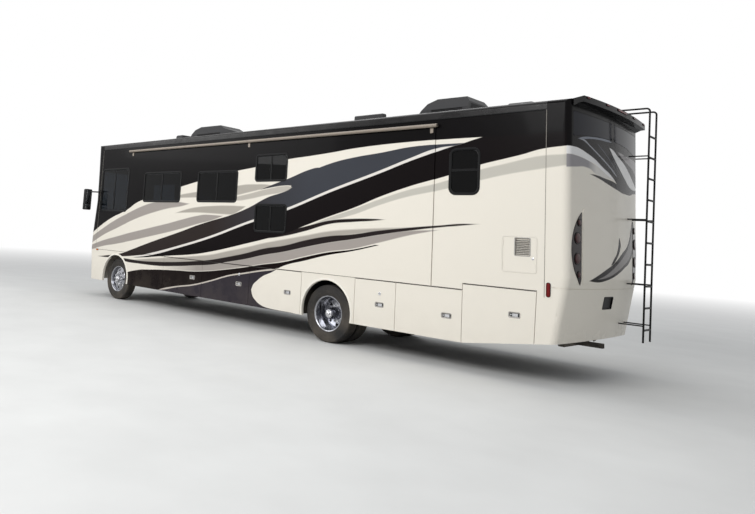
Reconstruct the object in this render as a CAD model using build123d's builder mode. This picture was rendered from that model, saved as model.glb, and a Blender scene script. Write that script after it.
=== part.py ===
"""Class A motorhome on a front-engined ladder chassis, modelled in its own frame.

+X points forwards, +Y to the driver's left and +Z up. The origin lies on the ground under the
centre of the overall box. All sizes are millimetres.
"""

import os
from math import cos, radians, sin

from build123d import *

# Coach body
body_width = 2565.0
wall_t = 50.0
cap_t = 45.0
skirt_z = 385.0
sill_z = 1113.0
wall_top_z = 3560.0
roof_edge_z = 3672.0
crown_z = 3745.0
roof_corner_r = 60.0

# Stations along the coach, measured forwards from the rear axle
wheelbase = 6400.0
front_seam = wheelbase + 940.0
front_corner = wheelbase + 1230.0
front_nose = wheelbase + 1300.0
front_corner_r = 160.0
brow_r = 240.0
rear_seam_low = -3440.0
rear_seam_high = -3570.0
rear_corner = -3850.0
rear_centre = -3940.0
rear_corner_r = 90.0
tail_rise_x = -2435.0
tail_slope = 0.134
ladder_top = -4219.0
ladder_bottom = -4119.0
ladder_tube_r = 13.0

# Clearances
seat_gap = 0.3
shut_gap = 8.0

# Chassis
rail_y = 430.0
rail_flange = 75.0
rail_web = 9.0
rail_bottom_z = 750.0
rail_rear = -3400.0
rail_front = wheelbase + 800.0
deck_bottom_z = 1010.0
deck_top_z = 1130.0

# Running gear
tyre_r = 470.0
tyre_w = 235.0
bead_r = 284.0
bulge_r = 375.0
rim_w = 190.0
hub_r = 45.0
front_wheel_y = 1075.0
dual_outer_y = 1105.0
dual_spacing = 300.0
kingpin_y = 905.0
kingpin_r = 20.0
spring_y = 392.0
arch_r = 515.0
arch_z = 500.0
arch_lip_w, arch_lip_proud = 18.0, 6.0

# Entry door
entry_front = wheelbase - 630.0
entry_rear = entry_front - 680.0
entry_bottom_z = 640.0
entry_top_z = 2820.0
entry_lip = 20.0

# Lower doors and the bays behind them: rear and front station of each
door_t = 40.0
rear_door_top_z = 1190.0
bay_plate = 20.0
bay_inner_y = 500.0
bay_floor_z = 400.0
tail_floor_z = 530.0
wheel_bulkhead = wheelbase - arch_r - 70.0
tail_bulkhead = -3425.0
left_doors = [
    (rear_seam_low, tail_rise_x), (tail_rise_x, -1345), (-1345, -580),
    (560, 1850), (1850, 3220), (3220, wheelbase - 1880),
]
right_doors = [
    (rear_seam_low, tail_rise_x), (tail_rise_x, -580),
    (560, 2050), (2050, 3500), (3500, entry_rear - 140),
]

# Latch pockets of the lower doors: station and height, door by door
latch_w, latch_h, latch_depth, latch_corner = 150.0, 66.0, 10.0, 14.0
left_latches = [(-3180, 853), (-2200, 720), (-1060, 737), (874, 724), (2130, 752), (3520, 752)]
right_latches = [(-3180, 853), (-1400, 737), (874, 740), (2400, 740), (3850, 740)]

# Slide-out room
slide_rear = -1940.0
slide_front = wheelbase - 330.0
slide_top_z = 3420.0
slide_inner_y = 620.0
slide_proud = 10.0
slide_plate = 45.0

# Glass thickness, how far the glass lies inside the skin, and the window frames round it
glass_t = 10.0
glass_inset = 8.0
frame_proud = 6.0
frame_out = 16.0
frame_in = 24.0

# Windows: rear station, front station, sill z, head z, corner radius
cab_window = (front_seam - 1205, front_seam - 50, 2050, 3060, 70)
left_windows = [cab_window, (-2640, -2190, 2440, 3090, 95)]
slide_windows = [
    (slide_front - 1950, slide_front - 600, 2285, 2930, 60),
    (slide_front - 3730, slide_front - 2530, 2295, 2905, 60),
    (slide_front - 5030, slide_front - 4230, 2690, 3180, 60),
    (slide_front - 5070, slide_front - 4280, 1755, 2250, 60),
]
right_windows = [
    cab_window,
    (entry_rear - 1840, entry_rear - 490, 2285, 2930, 60),
    (900, 2000, 2285, 2930, 60),
    (-2500, -1700, 2400, 3000, 60),
]
entry_windows = [(entry_rear + 125, entry_front - 125, 1950, 2600, 60)]

# Height and setback of the nose at each section of the front cap, and of the rear cap's foot
front_stations = [(skirt_z, 100), (1120, 0), (1500, 0), (2300, 80), (3060, 45), (crown_z + 40, 0)]
rear_stations = [(skirt_z, 180), (1380, 0), (crown_z + 40, 0)]

half = body_width / 2
door_top_z = sill_z - shut_gap
bay_face_y = half - door_t - seat_gap
rear_axle_x = -(front_nose + ladder_top - ladder_tube_r) / 2
front_axle_x = rear_axle_x + wheelbase

os.makedirs("parts", exist_ok=True)


def ahead(distance):
    """Frame coordinate of a station measured forwards from the rear axle."""
    return rear_axle_x + distance


def seam_x(z):
    """The rear cap's joint leans: its place at height z."""
    share = (z - skirt_z) / (crown_z - skirt_z)
    return ahead(rear_seam_low + share * (rear_seam_high - rear_seam_low))


def under_z(station):
    """Lower edge of the skirt, which rises behind tail_rise_x."""
    return skirt_z + max(0.0, tail_rise_x - station) * tail_slope


def skin(side, thickness, inset=0.0):
    """Plane on one side of the coach from which +thickness fills that layer of the wall."""
    if side > 0:
        return Plane.XZ.offset(-(half - inset))
    return Plane.XZ.offset(half - inset - thickness)


def save(part, name):
    part.label = name
    export_step(part, f"parts/{name}.step")


def window_sketch(plane, table, grow=0.0):
    """Rounded openings of a window table, each larger all round by grow."""
    with BuildSketch(plane) as openings:
        for rear_x, front_x, low, high, corner in table:
            with Locations((ahead((rear_x + front_x) / 2), (low + high) / 2)):
                RectangleRounded(front_x - rear_x + 2 * grow, high - low + 2 * grow, corner + grow)
    return openings.sketch


def window_units(side, table, stand_off=0.0):
    """Framed panes: a flange on the skin, a plug in the hole and a recess down to the glass."""
    face = -stand_off - frame_proud
    flange, recess = frame_proud - seat_gap, frame_proud + glass_inset
    with BuildPart() as units:
        extrude(window_sketch(skin(side, flange, face), table, frame_out), amount=flange)
        extrude(window_sketch(skin(side, recess + glass_t, face), table, -seat_gap), amount=recess + glass_t)
        extrude(window_sketch(skin(side, recess, face), table, -frame_in), amount=recess,
                mode=Mode.SUBTRACT)
    return units.part


def panel_sketch(plane, rear, front, top_z):
    """Side view of a lower door or panel less its shut gaps, following the tail rise and joint."""
    back, fore = rear + shut_gap / 2, front - shut_gap / 2
    if rear <= rear_seam_low:
        points = [(seam_x(top_z) + shut_gap, top_z), (seam_x(under_z(back)) + shut_gap, under_z(back))]
    else:
        points = [(ahead(back), top_z), (ahead(back), under_z(back))]
    if back < tail_rise_x < fore:
        points.append((ahead(tail_rise_x), skirt_z))
    points += [(ahead(fore), under_z(fore)), (ahead(fore), top_z)]
    with BuildSketch(plane) as outline:
        Polygon(*points, align=None)
    return outline.sketch


def arch_sketch(plane, station):
    with BuildSketch(plane) as arch:
        with Locations((ahead(station), arch_z)):
            Circle(arch_r)
    return arch.sketch


def arch_lip(side, station, rear, front):
    """Raised lip round a wheel arch, between two stations and above the skirt's lower edge."""
    plane = skin(side, arch_lip_proud, -arch_lip_proud)
    with BuildPart() as lip:
        with BuildSketch(plane):
            with Locations((ahead(station), arch_z)):
                Circle(arch_r + arch_lip_w)
                Circle(arch_r, mode=Mode.SUBTRACT)
            with Locations((ahead(rear), skirt_z)):
                Rectangle(front - rear, sill_z - skirt_z, align=(Align.MIN, Align.MIN), mode=Mode.INTERSECT)
        extrude(amount=arch_lip_proud)
    return lip.part


def coach_section(plane, low_z, inset=0.0):
    """Cross-section of the coach above low_z, with rounded roof edges and a crowned roof."""
    side, edge, crown = half - inset, roof_edge_z - inset, crown_z - inset
    with BuildSketch(plane) as section:
        with BuildLine():
            Polyline((side, edge), (side, low_z), (-side, low_z), (-side, edge))
            ThreePointArc((-side, edge), (0, crown), (side, edge))
        make_face()
        fillet(section.vertices().group_by(Axis.Y)[-1], roof_corner_r - inset / 2)
    return section.sketch


def cap_plan(z, corner, middle, inner, corner_r, side):
    """Plan of a cap at height z: straight sides from inner, rounded corners and a bowed end."""
    with BuildSketch(Plane.XY.offset(z)) as plan:
        with BuildLine():
            Polyline((corner, -side), (inner, -side), (inner, side), (corner, side))
            ThreePointArc((corner, side), (middle, 0), (corner, -side))
        make_face()
        corners = [v for v in plan.vertices() if abs(v.X - corner) < 1]
        fillet(corners, corner_r)
    return plan.sketch


def front_form(inset, back, low_z):
    """The front cap as a solid, or the same form drawn in by inset."""
    plans = []
    for z, setback in [(low_z, front_stations[0][1])] + front_stations[1:]:
        shift = ahead(-setback - inset)
        plans.append(cap_plan(
            z, shift + front_corner, shift + front_nose, ahead(back),
            front_corner_r - inset, half - inset))
    with BuildPart() as form:
        loft(plans, ruled=True)
        extrude(coach_section(Plane.YZ.offset(ahead(back) - 10), low_z - 10, inset),
                amount=front_nose - back + 20, mode=Mode.INTERSECT)
        with BuildSketch(Plane.XZ.offset(-body_width)) as side_view:
            with Locations((ahead(front_nose) - inset, crown_z + 5 - inset)):
                Rectangle(2 * front_nose, 2 * crown_z, align=(Align.MAX, Align.MAX))
            fillet(side_view.vertices().group_by(Axis.Y)[-1].sort_by(Axis.X)[-1:], brow_r - inset)
        extrude(amount=2 * body_width, mode=Mode.INTERSECT)
    return form.part


def rear_form(inset, inner, low_z):
    """The rear cap as a solid, or the same form drawn in by inset."""
    plans = []
    for z, setback in [(low_z, rear_stations[0][1])] + rear_stations[1:]:
        shift = ahead(setback + inset)
        plans.append(cap_plan(
            z, shift + rear_corner, shift + rear_centre, ahead(inner),
            rear_corner_r - inset, half - inset))
    with BuildPart() as form:
        loft(plans, ruled=True)
        extrude(coach_section(Plane.YZ.offset(ahead(rear_centre) - 300), low_z - 10, inset),
                amount=inner - rear_centre + 320, mode=Mode.INTERSECT)
    return form.part


def seam_cutter(ahead_of_seam):
    """Block on one side of the leaning rear joint."""
    low, high = -100.0, crown_z + 400
    reach = 2 * wheelbase if ahead_of_seam else -wheelbase
    with BuildPart() as block:
        with BuildSketch(Plane.XZ.offset(-body_width)):
            Polygon(
                (seam_x(low), low), (seam_x(high), high),
                (seam_x(high) + reach, high), (seam_x(low) + reach, low), align=None)
        extrude(amount=2 * body_width)
    return block.part


in_front_of_seam = seam_cutter(True)
behind_seam = seam_cutter(False)

# Ladder frame: two channels with cross members bolted between their webs
cross_members = [-3300, -2300, -1000, 900, 2300, 3700, wheelbase - 1400, wheelbase + 750]
cross_w, cross_h = 70, 110
rail_height = deck_bottom_z - rail_bottom_z
rail_mid_z = (deck_bottom_z + rail_bottom_z) / 2
with BuildPart() as chassis_frame:
    with BuildSketch(Plane.YZ.offset(ahead(rail_rear))):
        for side in (-1, 1):
            with Locations((side * (rail_y - rail_flange / 2), rail_mid_z)):
                Rectangle(rail_flange, rail_height)
            with Locations((side * (rail_y - rail_web - rail_flange / 2), rail_mid_z)):
                Rectangle(rail_flange, rail_height - 2 * rail_web, mode=Mode.SUBTRACT)
    extrude(amount=rail_front - rail_rear)
    for station in cross_members:
        with Locations((ahead(station), 0, rail_mid_z)):
            Box(cross_w, 2 * (rail_y - rail_web - seat_gap), cross_h)
save(chassis_frame.part, "chassis_frame")

# Coach floor with the engine cover between the seats, seat boxes and the entry stairwell
deck_y = half - wall_t
deck_front = front_seam + 110
cover_rear, cover_front, cover_y, cover_top = wheelbase - 500, wheelbase + 550, 430, 1330
well_rear, well_front = entry_rear - 25, entry_front + 25
well_inner, well_tread, well_tread_z = 680, 910, 870
seat_rear, seat_front, seat_y, seat_w, seat_box_z = wheelbase - 185, wheelbase + 295, 800, 520, 1480
with BuildPart() as floor_deck:
    with Locations((ahead(rear_seam_high), 0, deck_bottom_z)):
        Box(deck_front - rear_seam_high, 2 * deck_y, deck_top_z - deck_bottom_z,
            align=(Align.MIN, Align.CENTER, Align.MIN))
    add(in_front_of_seam, mode=Mode.INTERSECT)
    with Locations((ahead((cover_rear + cover_front) / 2), 0, deck_bottom_z)):
        Box(cover_front - cover_rear, 2 * cover_y, cover_top - deck_bottom_z,
            align=(Align.CENTER, Align.CENTER, Align.MIN))
        Box(cover_front - cover_rear - 60, 2 * cover_y - 60, cover_top - deck_bottom_z - 30,
            align=(Align.CENTER, Align.CENTER, Align.MIN), mode=Mode.SUBTRACT)
    with Locations((ahead((seat_rear + seat_front) / 2), -seat_y, deck_top_z),
                   (ahead((seat_rear + seat_front) / 2), seat_y, deck_top_z)):
        Box(seat_front - seat_rear - 80, seat_w - 100, seat_box_z - deck_top_z,
            align=(Align.CENTER, Align.CENTER, Align.MIN))
    for grow, mode in ((0, Mode.ADD), (bay_plate, Mode.SUBTRACT)):
        with BuildSketch(Plane.YZ.offset(ahead(well_rear) + grow)):
            Polygon(
                (-deck_y, entry_bottom_z + grow), (-well_tread - grow, entry_bottom_z + grow),
                (-well_tread - grow, well_tread_z + grow), (-well_inner - grow, well_tread_z + grow),
                (-well_inner - grow, deck_top_z), (-deck_y, deck_top_z), align=None)
        extrude(amount=well_front - well_rear - 2 * grow, mode=mode)
save(floor_deck.part, "floor_deck")

# Left wall: rear and front panels joined by the header over the slide-out
tail_lip_z = rear_door_top_z + shut_gap
hatch_x, hatch_z, hatch_w, hatch_h = -3227, 1645, 455, 460


def wall_outline(plane):
    """Side view of a wall between the caps, with the last lower doors' higher tops cut out."""
    with BuildSketch(plane) as outline:
        Polygon(
            (seam_x(tail_lip_z), tail_lip_z), (ahead(tail_rise_x + shut_gap / 2), tail_lip_z),
            (ahead(tail_rise_x + shut_gap / 2), sill_z), (ahead(front_seam), sill_z),
            (ahead(front_seam), wall_top_z), (seam_x(wall_top_z), wall_top_z), align=None)
    return outline.sketch


with BuildPart() as wall_left:
    extrude(wall_outline(skin(1, wall_t)), amount=wall_t)
    with BuildSketch(skin(1, wall_t)):
        with Locations((ahead((slide_rear + slide_front) / 2), sill_z)):
            Rectangle(slide_front - slide_rear + 2 * shut_gap, 2 * (slide_top_z + shut_gap - sill_z))
    extrude(amount=wall_t, mode=Mode.SUBTRACT)
    extrude(window_sketch(skin(1, wall_t), left_windows), amount=wall_t, mode=Mode.SUBTRACT)
    with BuildSketch(skin(1, wall_t)):
        with Locations((ahead(hatch_x), hatch_z)):
            RectangleRounded(hatch_w, hatch_h, 30)
            RectangleRounded(hatch_w - 14, hatch_h - 14, 24, mode=Mode.SUBTRACT)
    extrude(amount=6, mode=Mode.SUBTRACT)
    with BuildSketch(skin(1, wall_t)):
        with Locations((ahead(hatch_x - 45), hatch_z + 100)):
            RectangleRounded(200, 230, 12)
    extrude(amount=25, mode=Mode.SUBTRACT)
save(wall_left.part, "wall_left")

# Right wall: windows and the stepped entry opening
entry_mid = ahead((entry_rear + entry_front) / 2)
with BuildPart() as wall_right:
    extrude(wall_outline(skin(-1, wall_t)), amount=wall_t)
    extrude(window_sketch(skin(-1, wall_t), right_windows), amount=wall_t, mode=Mode.SUBTRACT)
    lip_t = wall_t - door_t - seat_gap
    for grow, start, depth in ((-entry_lip, 0, wall_t), (shut_gap, lip_t, door_t + seat_gap)):
        with BuildSketch(skin(-1, wall_t).offset(start)):
            with Locations((entry_mid, sill_z)):
                Rectangle(entry_front - entry_rear + 2 * grow, 2 * (entry_top_z + grow - sill_z))
        extrude(amount=depth, mode=Mode.SUBTRACT)
save(wall_right.part, "wall_right")

# Crowned roof between the two caps
with BuildPart() as roof:
    extrude(coach_section(Plane.YZ.offset(ahead(rear_seam_high - 20)), wall_top_z),
            amount=front_seam - rear_seam_high + 20)
    add(in_front_of_seam, mode=Mode.INTERSECT)
save(roof.part, "roof")

# Front openings: half width, low z, high z, corner radius
windshield_hole = (1165, 1770, 3030, 120)
grille_hole = (470, 1160, 1500, 60)
lamp_inner_y, lamp_outer_y, lamp_low_z, lamp_high_z = 640, 1150, 1190, 1440
nose_plane = Plane.YZ.offset(ahead(front_seam - 60))
nose_reach = front_nose - front_seam + 120


def nose_sketch(half_width, low, high, corner, shrink=0.0):
    with BuildSketch(nose_plane) as hole:
        with Locations((0, (low + high) / 2)):
            RectangleRounded(2 * (half_width - shrink), high - low - 2 * shrink, corner - shrink)
    return hole.sketch


def lamp_sketch(shrink=0.0):
    """Headlamp outlines on both sides of the grille, swept up towards the corners."""
    inner, outer = lamp_inner_y + shrink, lamp_outer_y - shrink
    with BuildSketch(nose_plane) as lamps:
        for side in (-1, 1):
            Polygon(
                (side * inner, lamp_low_z + shrink), (side * outer, lamp_low_z + 60 + shrink),
                (side * outer, lamp_high_z + 60 - shrink), (side * inner, lamp_high_z - 30 - shrink),
                align=None)
    return lamps.sketch


def nose_shell(outer_inset, inner_inset):
    """Layer of the nose between two insets, ahead of the front joint."""
    outer = front_form(outer_inset, front_seam - 60, skirt_z)
    inner = front_form(inner_inset, front_seam - 80, skirt_z - 20)
    with BuildPart() as shell:
        add(outer)
        add(inner, mode=Mode.SUBTRACT)
    return shell.part


# Bumper crease and lower air intake of the nose: half width, low z, high z, corner radius, depth
nose_recesses = [(body_width, 1110, 1119, 1, 7), (560, 620, 760, 40, 18)]

front_outer = front_form(0, wheelbase, skirt_z)
front_inner = front_form(cap_t, wheelbase - 40, skirt_z - 40)
with BuildPart() as front_cap:
    add(front_outer)
    add(front_inner, mode=Mode.SUBTRACT)
    with Locations((ahead(front_seam), 0, door_top_z)):
        Box(wheelbase, 2 * body_width, crown_z, align=(Align.MAX, Align.CENTER, Align.MIN),
            mode=Mode.SUBTRACT)
    extrude(arch_sketch(Plane.XZ.offset(-body_width), wheelbase), amount=2 * body_width,
            mode=Mode.SUBTRACT)
    extrude(nose_sketch(*windshield_hole), amount=nose_reach, mode=Mode.SUBTRACT)
    extrude(nose_sketch(*grille_hole), amount=nose_reach, mode=Mode.SUBTRACT)
    extrude(lamp_sketch(), amount=nose_reach, mode=Mode.SUBTRACT)
    for half_width, low, high, corner, depth in nose_recesses:
        with BuildPart(mode=Mode.PRIVATE) as recess:
            add(nose_shell(-5, depth))
            extrude(nose_sketch(half_width, low, high, corner), amount=nose_reach, mode=Mode.INTERSECT)
        add(recess.part, mode=Mode.SUBTRACT)
    for side in (1, -1):
        add(arch_lip(side, wheelbase, wheelbase + shut_gap / 2, wheelbase + 2 * arch_r))
save(front_cap.part, "front_cap")

glass_shell = nose_shell(glass_inset, glass_inset + glass_t)
with BuildPart() as windshield:
    add(glass_shell)
    extrude(nose_sketch(*windshield_hole, shrink=seat_gap), amount=nose_reach, mode=Mode.INTERSECT)
save(windshield.part, "windshield")

fitting_shell = nose_shell(4, cap_t)
with BuildPart() as headlamps:
    add(fitting_shell)
    extrude(lamp_sketch(seat_gap), amount=nose_reach, mode=Mode.INTERSECT)
save(headlamps.part, "headlamps")

# Grille that follows the nose, with level slots between its bars
slot_pitch, slot_count, slot_height = 62, 5, 36
with BuildPart() as grille:
    add(fitting_shell)
    extrude(nose_sketch(*grille_hole, shrink=seat_gap), amount=nose_reach, mode=Mode.INTERSECT)
    grille_half, grille_low, grille_high, _ = grille_hole
    with BuildSketch(Plane.YZ.offset(ahead(front_nose - 30))):
        with Locations((0, (grille_low + grille_high) / 2)):
            with GridLocations(1, slot_pitch, 1, slot_count):
                Rectangle(2 * grille_half - 70, slot_height)
    extrude(amount=60, mode=Mode.SUBTRACT)
save(grille.part, "grille")

# Rear cap: bowed shell with a tapered foot, a visor over the panes and pockets for the lamps
spoiler_reach, spoiler_root_z, spoiler_lip_z, spoiler_lip_t, spoiler_half = 120, 3560, 3645, 95, 1190
plate_half, plate_low, plate_high, plate_depth = 175, 975, 1150, 25
panel_half, panel_low, panel_high, panel_proud, panel_corner = 930, 1320, 2290, 6, 60
crease_z, crease_h, crease_depth = 1250, 9, 7
pane_depth = 5
pane_outlines = [
    [(1185, 3200), (1185, 3530), (45, 3530), (45, 3290), (600, 3270)],
    [(-45, 3290), (-45, 3530), (-1185, 3530), (-1185, 3200), (-600, 3270)],
]
rear_plane = Plane.YZ.offset(ahead(rear_centre) - 200)


def lamp_d_sketch(shrink=0.0):
    """Tail lamp outlines: straight inner edge, bowed outer edge."""
    low, high, inner, bow = 1300 + shrink, 2230 - shrink, 965 + shrink, 1205 - shrink
    with BuildSketch(rear_plane) as lamps:
        for side in (-1, 1):
            with BuildLine():
                Line((side * inner, low), (side * inner, high))
                ThreePointArc((side * inner, high), (side * bow, (low + high) / 2), (side * inner, low))
            make_face()
    return lamps.sketch


def rear_layer(outer_inset, inner_inset, outline):
    """Layer of the rear cap between two insets, within an outline seen from behind."""
    outer = rear_form(outer_inset, rear_seam_low + 100, skirt_z)
    inner = rear_form(inner_inset, rear_seam_low + 120, skirt_z - 20)
    with BuildPart() as layer:
        add(outer)
        add(inner, mode=Mode.SUBTRACT)
        extrude(outline, amount=500, mode=Mode.INTERSECT)
    return layer.part


def centred_outline(half_width, low, high, corner):
    with BuildSketch(rear_plane) as outline:
        with Locations((0, (low + high) / 2)):
            RectangleRounded(2 * half_width, high - low, corner)
    return outline.sketch


with BuildSketch(rear_plane) as pane_sketch:
    for outline in pane_outlines:
        Polygon(*outline, align=None)
lamp_depth, lamp_proud = 10, 6
pane_pocket = rear_layer(-5, pane_depth, pane_sketch.sketch)
panel_layer = rear_layer(
    -panel_proud, cap_t / 2, centred_outline(panel_half, panel_low, panel_high, panel_corner))
crease = rear_layer(-5, crease_depth, centred_outline(body_width, crease_z, crease_z + crease_h, 1))
plate_pocket = rear_layer(-5, plate_depth, centred_outline(plate_half, plate_low, plate_high, 20))
lamp_pocket = rear_layer(-5, lamp_depth + seat_gap, lamp_d_sketch())
rear_outer = rear_form(0, rear_seam_low + 100, skirt_z)
rear_inner = rear_form(cap_t, rear_seam_low + 140, skirt_z - 40)
with BuildPart() as visor:
    with BuildSketch(Plane.XZ.offset(-spoiler_half)):
        Polygon(
            (ahead(rear_corner) + 60, spoiler_root_z), (ahead(rear_centre), spoiler_lip_z - 20),
            (ahead(rear_centre - 2 * spoiler_reach), spoiler_lip_z),
            (ahead(rear_centre - 2 * spoiler_reach), spoiler_lip_z + spoiler_lip_t),
            (ahead(rear_corner) + 60, crown_z - 70), align=None)
    extrude(amount=2 * spoiler_half)
    add(rear_form(-spoiler_reach, rear_seam_low + 100, skirt_z), mode=Mode.INTERSECT)
with BuildPart() as rear_cap:
    add(rear_outer)
    add(panel_layer)
    add(visor.part)
    add(rear_inner, mode=Mode.SUBTRACT)
    add(behind_seam, mode=Mode.INTERSECT)
    with BuildSketch(Plane.XZ.offset(-body_width)):
        foot = rear_centre - 200
        Polygon(
            (ahead(tail_rise_x), skirt_z - 50), (ahead(tail_rise_x), skirt_z),
            (ahead(foot), under_z(foot)), (ahead(foot), skirt_z - 50), align=None)
    extrude(amount=2 * body_width, mode=Mode.SUBTRACT)
    for pocket in (plate_pocket, lamp_pocket, pane_pocket, crease):
        add(pocket, mode=Mode.SUBTRACT)
save(rear_cap.part, "rear_cap")

tail_lamps = rear_layer(-lamp_proud, lamp_depth, lamp_d_sketch(seat_gap))
save(tail_lamps, "tail_lamps")

# Fixed side windows, both walls
with BuildPart() as side_glass:
    for side, table in ((1, left_windows), (-1, right_windows)):
        add(window_units(side, table))
save(side_glass.part, "side_glass")

# Fixed skirt panels round the wheel arches: side, rear station, front station, arch station
rear_arch_back, rear_arch_fore = left_doors[2][1], left_doors[3][0]
skirt_table = [
    (1, rear_arch_back, rear_arch_fore, 0),
    (1, left_doors[-1][1], wheelbase, wheelbase),
    (-1, rear_arch_back, rear_arch_fore, 0),
    (-1, right_doors[-1][1], entry_rear - shut_gap / 2, None),
    (-1, entry_front + shut_gap / 2, wheelbase, wheelbase),
]
with BuildPart() as skirt_panels:
    for side, rear, front, arch in skirt_table:
        extrude(panel_sketch(skin(side, door_t), rear, front, door_top_z), amount=door_t)
    for side, rear, front, arch in skirt_table:
        if arch is not None:
            extrude(arch_sketch(skin(side, door_t), arch), amount=door_t, mode=Mode.SUBTRACT)
            add(arch_lip(side, arch, rear + shut_gap / 2, front - shut_gap / 2))
save(skirt_panels.part, "skirt_panels")

# Lower doors, numbered from the rear
for side, side_name, table, latches in (
        (1, "left", left_doors, left_latches), (-1, "right", right_doors, right_latches)):
    for number, ((rear, front), (latch_x, latch_z)) in enumerate(zip(table, latches), start=1):
        top_z = rear_door_top_z if number == 1 else door_top_z
        with BuildPart() as bay_door:
            extrude(panel_sketch(skin(side, door_t), rear, front, top_z), amount=door_t)
            with BuildSketch(skin(side, latch_depth)):
                with Locations((ahead(latch_x), latch_z)):
                    RectangleRounded(latch_w, latch_h, latch_corner)
            extrude(amount=latch_depth, mode=Mode.SUBTRACT)
        save(bay_door.part, f"{side_name}_door_{number}")

# Bays: plates set just apart from each other, with floors, inner walls and cross partitions
bay_groups = [
    (1, [tail_bulkhead] + [front for _, front in left_doors[:3]]),
    (1, [rear for rear, _ in left_doors[3:]] + [left_doors[-1][1], wheel_bulkhead]),
    (-1, [tail_bulkhead] + [front for _, front in right_doors[:2]]),
    (-1, [rear for rear, _ in right_doors[2:]] + [right_doors[-1][1]]),
]
plate_half_t = bay_plate / 2
with BuildPart() as storage_bays:
    for side, stations in bay_groups:
        for rear, front in zip(stations, stations[1:]):
            floor_z = tail_floor_z if rear < tail_rise_x else bay_floor_z
            length = front - rear - bay_plate - 2 * seat_gap
            with Locations((ahead((rear + front) / 2), side * (bay_inner_y + bay_face_y) / 2, floor_z)):
                Box(length, bay_face_y - bay_inner_y, bay_plate, align=(Align.CENTER, Align.CENTER, Align.MIN))
            wall_z = floor_z + bay_plate + seat_gap
            with Locations((ahead((rear + front) / 2), side * (bay_inner_y + plate_half_t), wall_z)):
                Box(length, bay_plate, deck_bottom_z - seat_gap - wall_z,
                    align=(Align.CENTER, Align.CENTER, Align.MIN))
        for station in stations:
            foot_z = tail_floor_z if station < tail_rise_x else bay_floor_z
            with Locations((ahead(station), side * (bay_inner_y + bay_face_y) / 2, foot_z)):
                Box(bay_plate, bay_face_y - bay_inner_y, deck_bottom_z - seat_gap - foot_z,
                    align=(Align.CENTER, Align.CENTER, Align.MIN))
    with Locations((ahead(wheel_bulkhead), -(bay_inner_y + bay_face_y) / 2, bay_floor_z)):
        Box(bay_plate, bay_face_y - bay_inner_y, deck_bottom_z - seat_gap - bay_floor_z,
            align=(Align.CENTER, Align.CENTER, Align.MIN))
save(storage_bays.part, "storage_bays")

# Engine with its gearbox, plain, between the rails under the cover
engine_rear, engine_front, engine_half = wheelbase - 450, wheelbase + 500, 330
engine_low_z, engine_top_z = 480, 1230
gearbox_rear, gearbox_half, gearbox_low_z, gearbox_top_z = engine_rear - 750, 210, 500, 900
with BuildPart() as engine:
    with Locations((ahead(engine_rear), 0, engine_low_z)):
        Box(engine_front - engine_rear, 2 * engine_half, engine_top_z - engine_low_z,
            align=(Align.MIN, Align.CENTER, Align.MIN))
    with Locations((ahead(gearbox_rear), 0, gearbox_low_z)):
        Box(engine_rear - gearbox_rear, 2 * gearbox_half, gearbox_top_z - gearbox_low_z,
            align=(Align.MIN, Align.CENTER, Align.MIN))
    with Locations((ahead(wheelbase + 300), 0, rail_mid_z)):
        Box(120, 2 * (rail_y - rail_web - seat_gap), 90)
save(engine.part, "engine")

# Fuel tank behind the rear axle and waste tank ahead of it, hung under the floor
with BuildPart() as tanks:
    for rear, front, right_y, left_y, low_z in ((-2240, -1060, -50, 330, 560), (960, 2240, -330, 330, 750)):
        with BuildSketch(Plane.XZ.offset(-left_y)) as tank_side:
            with Locations((ahead((rear + front) / 2), (low_z + deck_bottom_z - seat_gap) / 2)):
                Rectangle(front - rear, deck_bottom_z - seat_gap - low_z)
            fillet(tank_side.vertices().group_by(Axis.Y)[0], 60)
        extrude(amount=left_y - right_y)
save(tanks.part, "tanks")

# Exhaust in clamped lengths: front pipe, muffler, tail pipe with its turned-down end, hangers
exhaust_y, exhaust_z, exhaust_r, muffler_r = -262, 660, 38, 88
muffler_rear, muffler_front, hanger_r = 2500, 3400, 8
exhaust_runs = [
    [(ahead(engine_rear) - seat_gap, exhaust_z), (ahead(muffler_front) + seat_gap, exhaust_z)],
    [(ahead(muffler_rear) - seat_gap, exhaust_z), (ahead(-3500), exhaust_z), (ahead(-3640), exhaust_z - 140)],
]
with BuildPart() as exhaust:
    for run in exhaust_runs:
        with BuildLine() as exhaust_path:
            points = [(x, exhaust_y, z) for x, z in run]
            if len(points) > 2:
                FilletPolyline(*points, radius=80)
            else:
                Polyline(*points)
        with BuildSketch(Plane(exhaust_path.line @ 0, z_dir=exhaust_path.line % 0)):
            Circle(exhaust_r)
        sweep(path=exhaust_path.line)
    with BuildSketch(Plane.YZ.offset(ahead(muffler_rear))):
        with Locations((exhaust_y, exhaust_z)):
            Circle(muffler_r)
    extrude(amount=muffler_front - muffler_rear)
    for station in (-2300, 900, 3700):
        low_z = exhaust_z + exhaust_r + seat_gap
        with Locations((ahead(station), exhaust_y, low_z)):
            Cylinder(hanger_r, rail_mid_z - cross_h / 2 - seat_gap - low_z,
                     align=(Align.CENTER, Align.CENTER, Align.MIN))
save(exhaust.part, "exhaust")

# Axle housing with its differential, and the tapered spindles that carry the hubs
spindle_end = dual_outer_y + 50
pinion_face = 190
with BuildPart() as rear_axle:
    with BuildSketch(Plane.XY.offset(tyre_r)) as axle_profile:
        Polygon(
            (ahead(0), -spindle_end), (ahead(hub_r), -spindle_end), (ahead(hub_r), -700),
            (ahead(75), -660), (ahead(75), -200), (ahead(pinion_face), -120), (ahead(pinion_face), 120),
            (ahead(75), 200),
            (ahead(75), 660), (ahead(hub_r), 700), (ahead(hub_r), spindle_end), (ahead(0), spindle_end),
            align=None)
    revolve(axis=Axis((ahead(0), 0, tyre_r), (0, 1, 0)))
save(rear_axle.part, "rear_axle")

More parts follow.
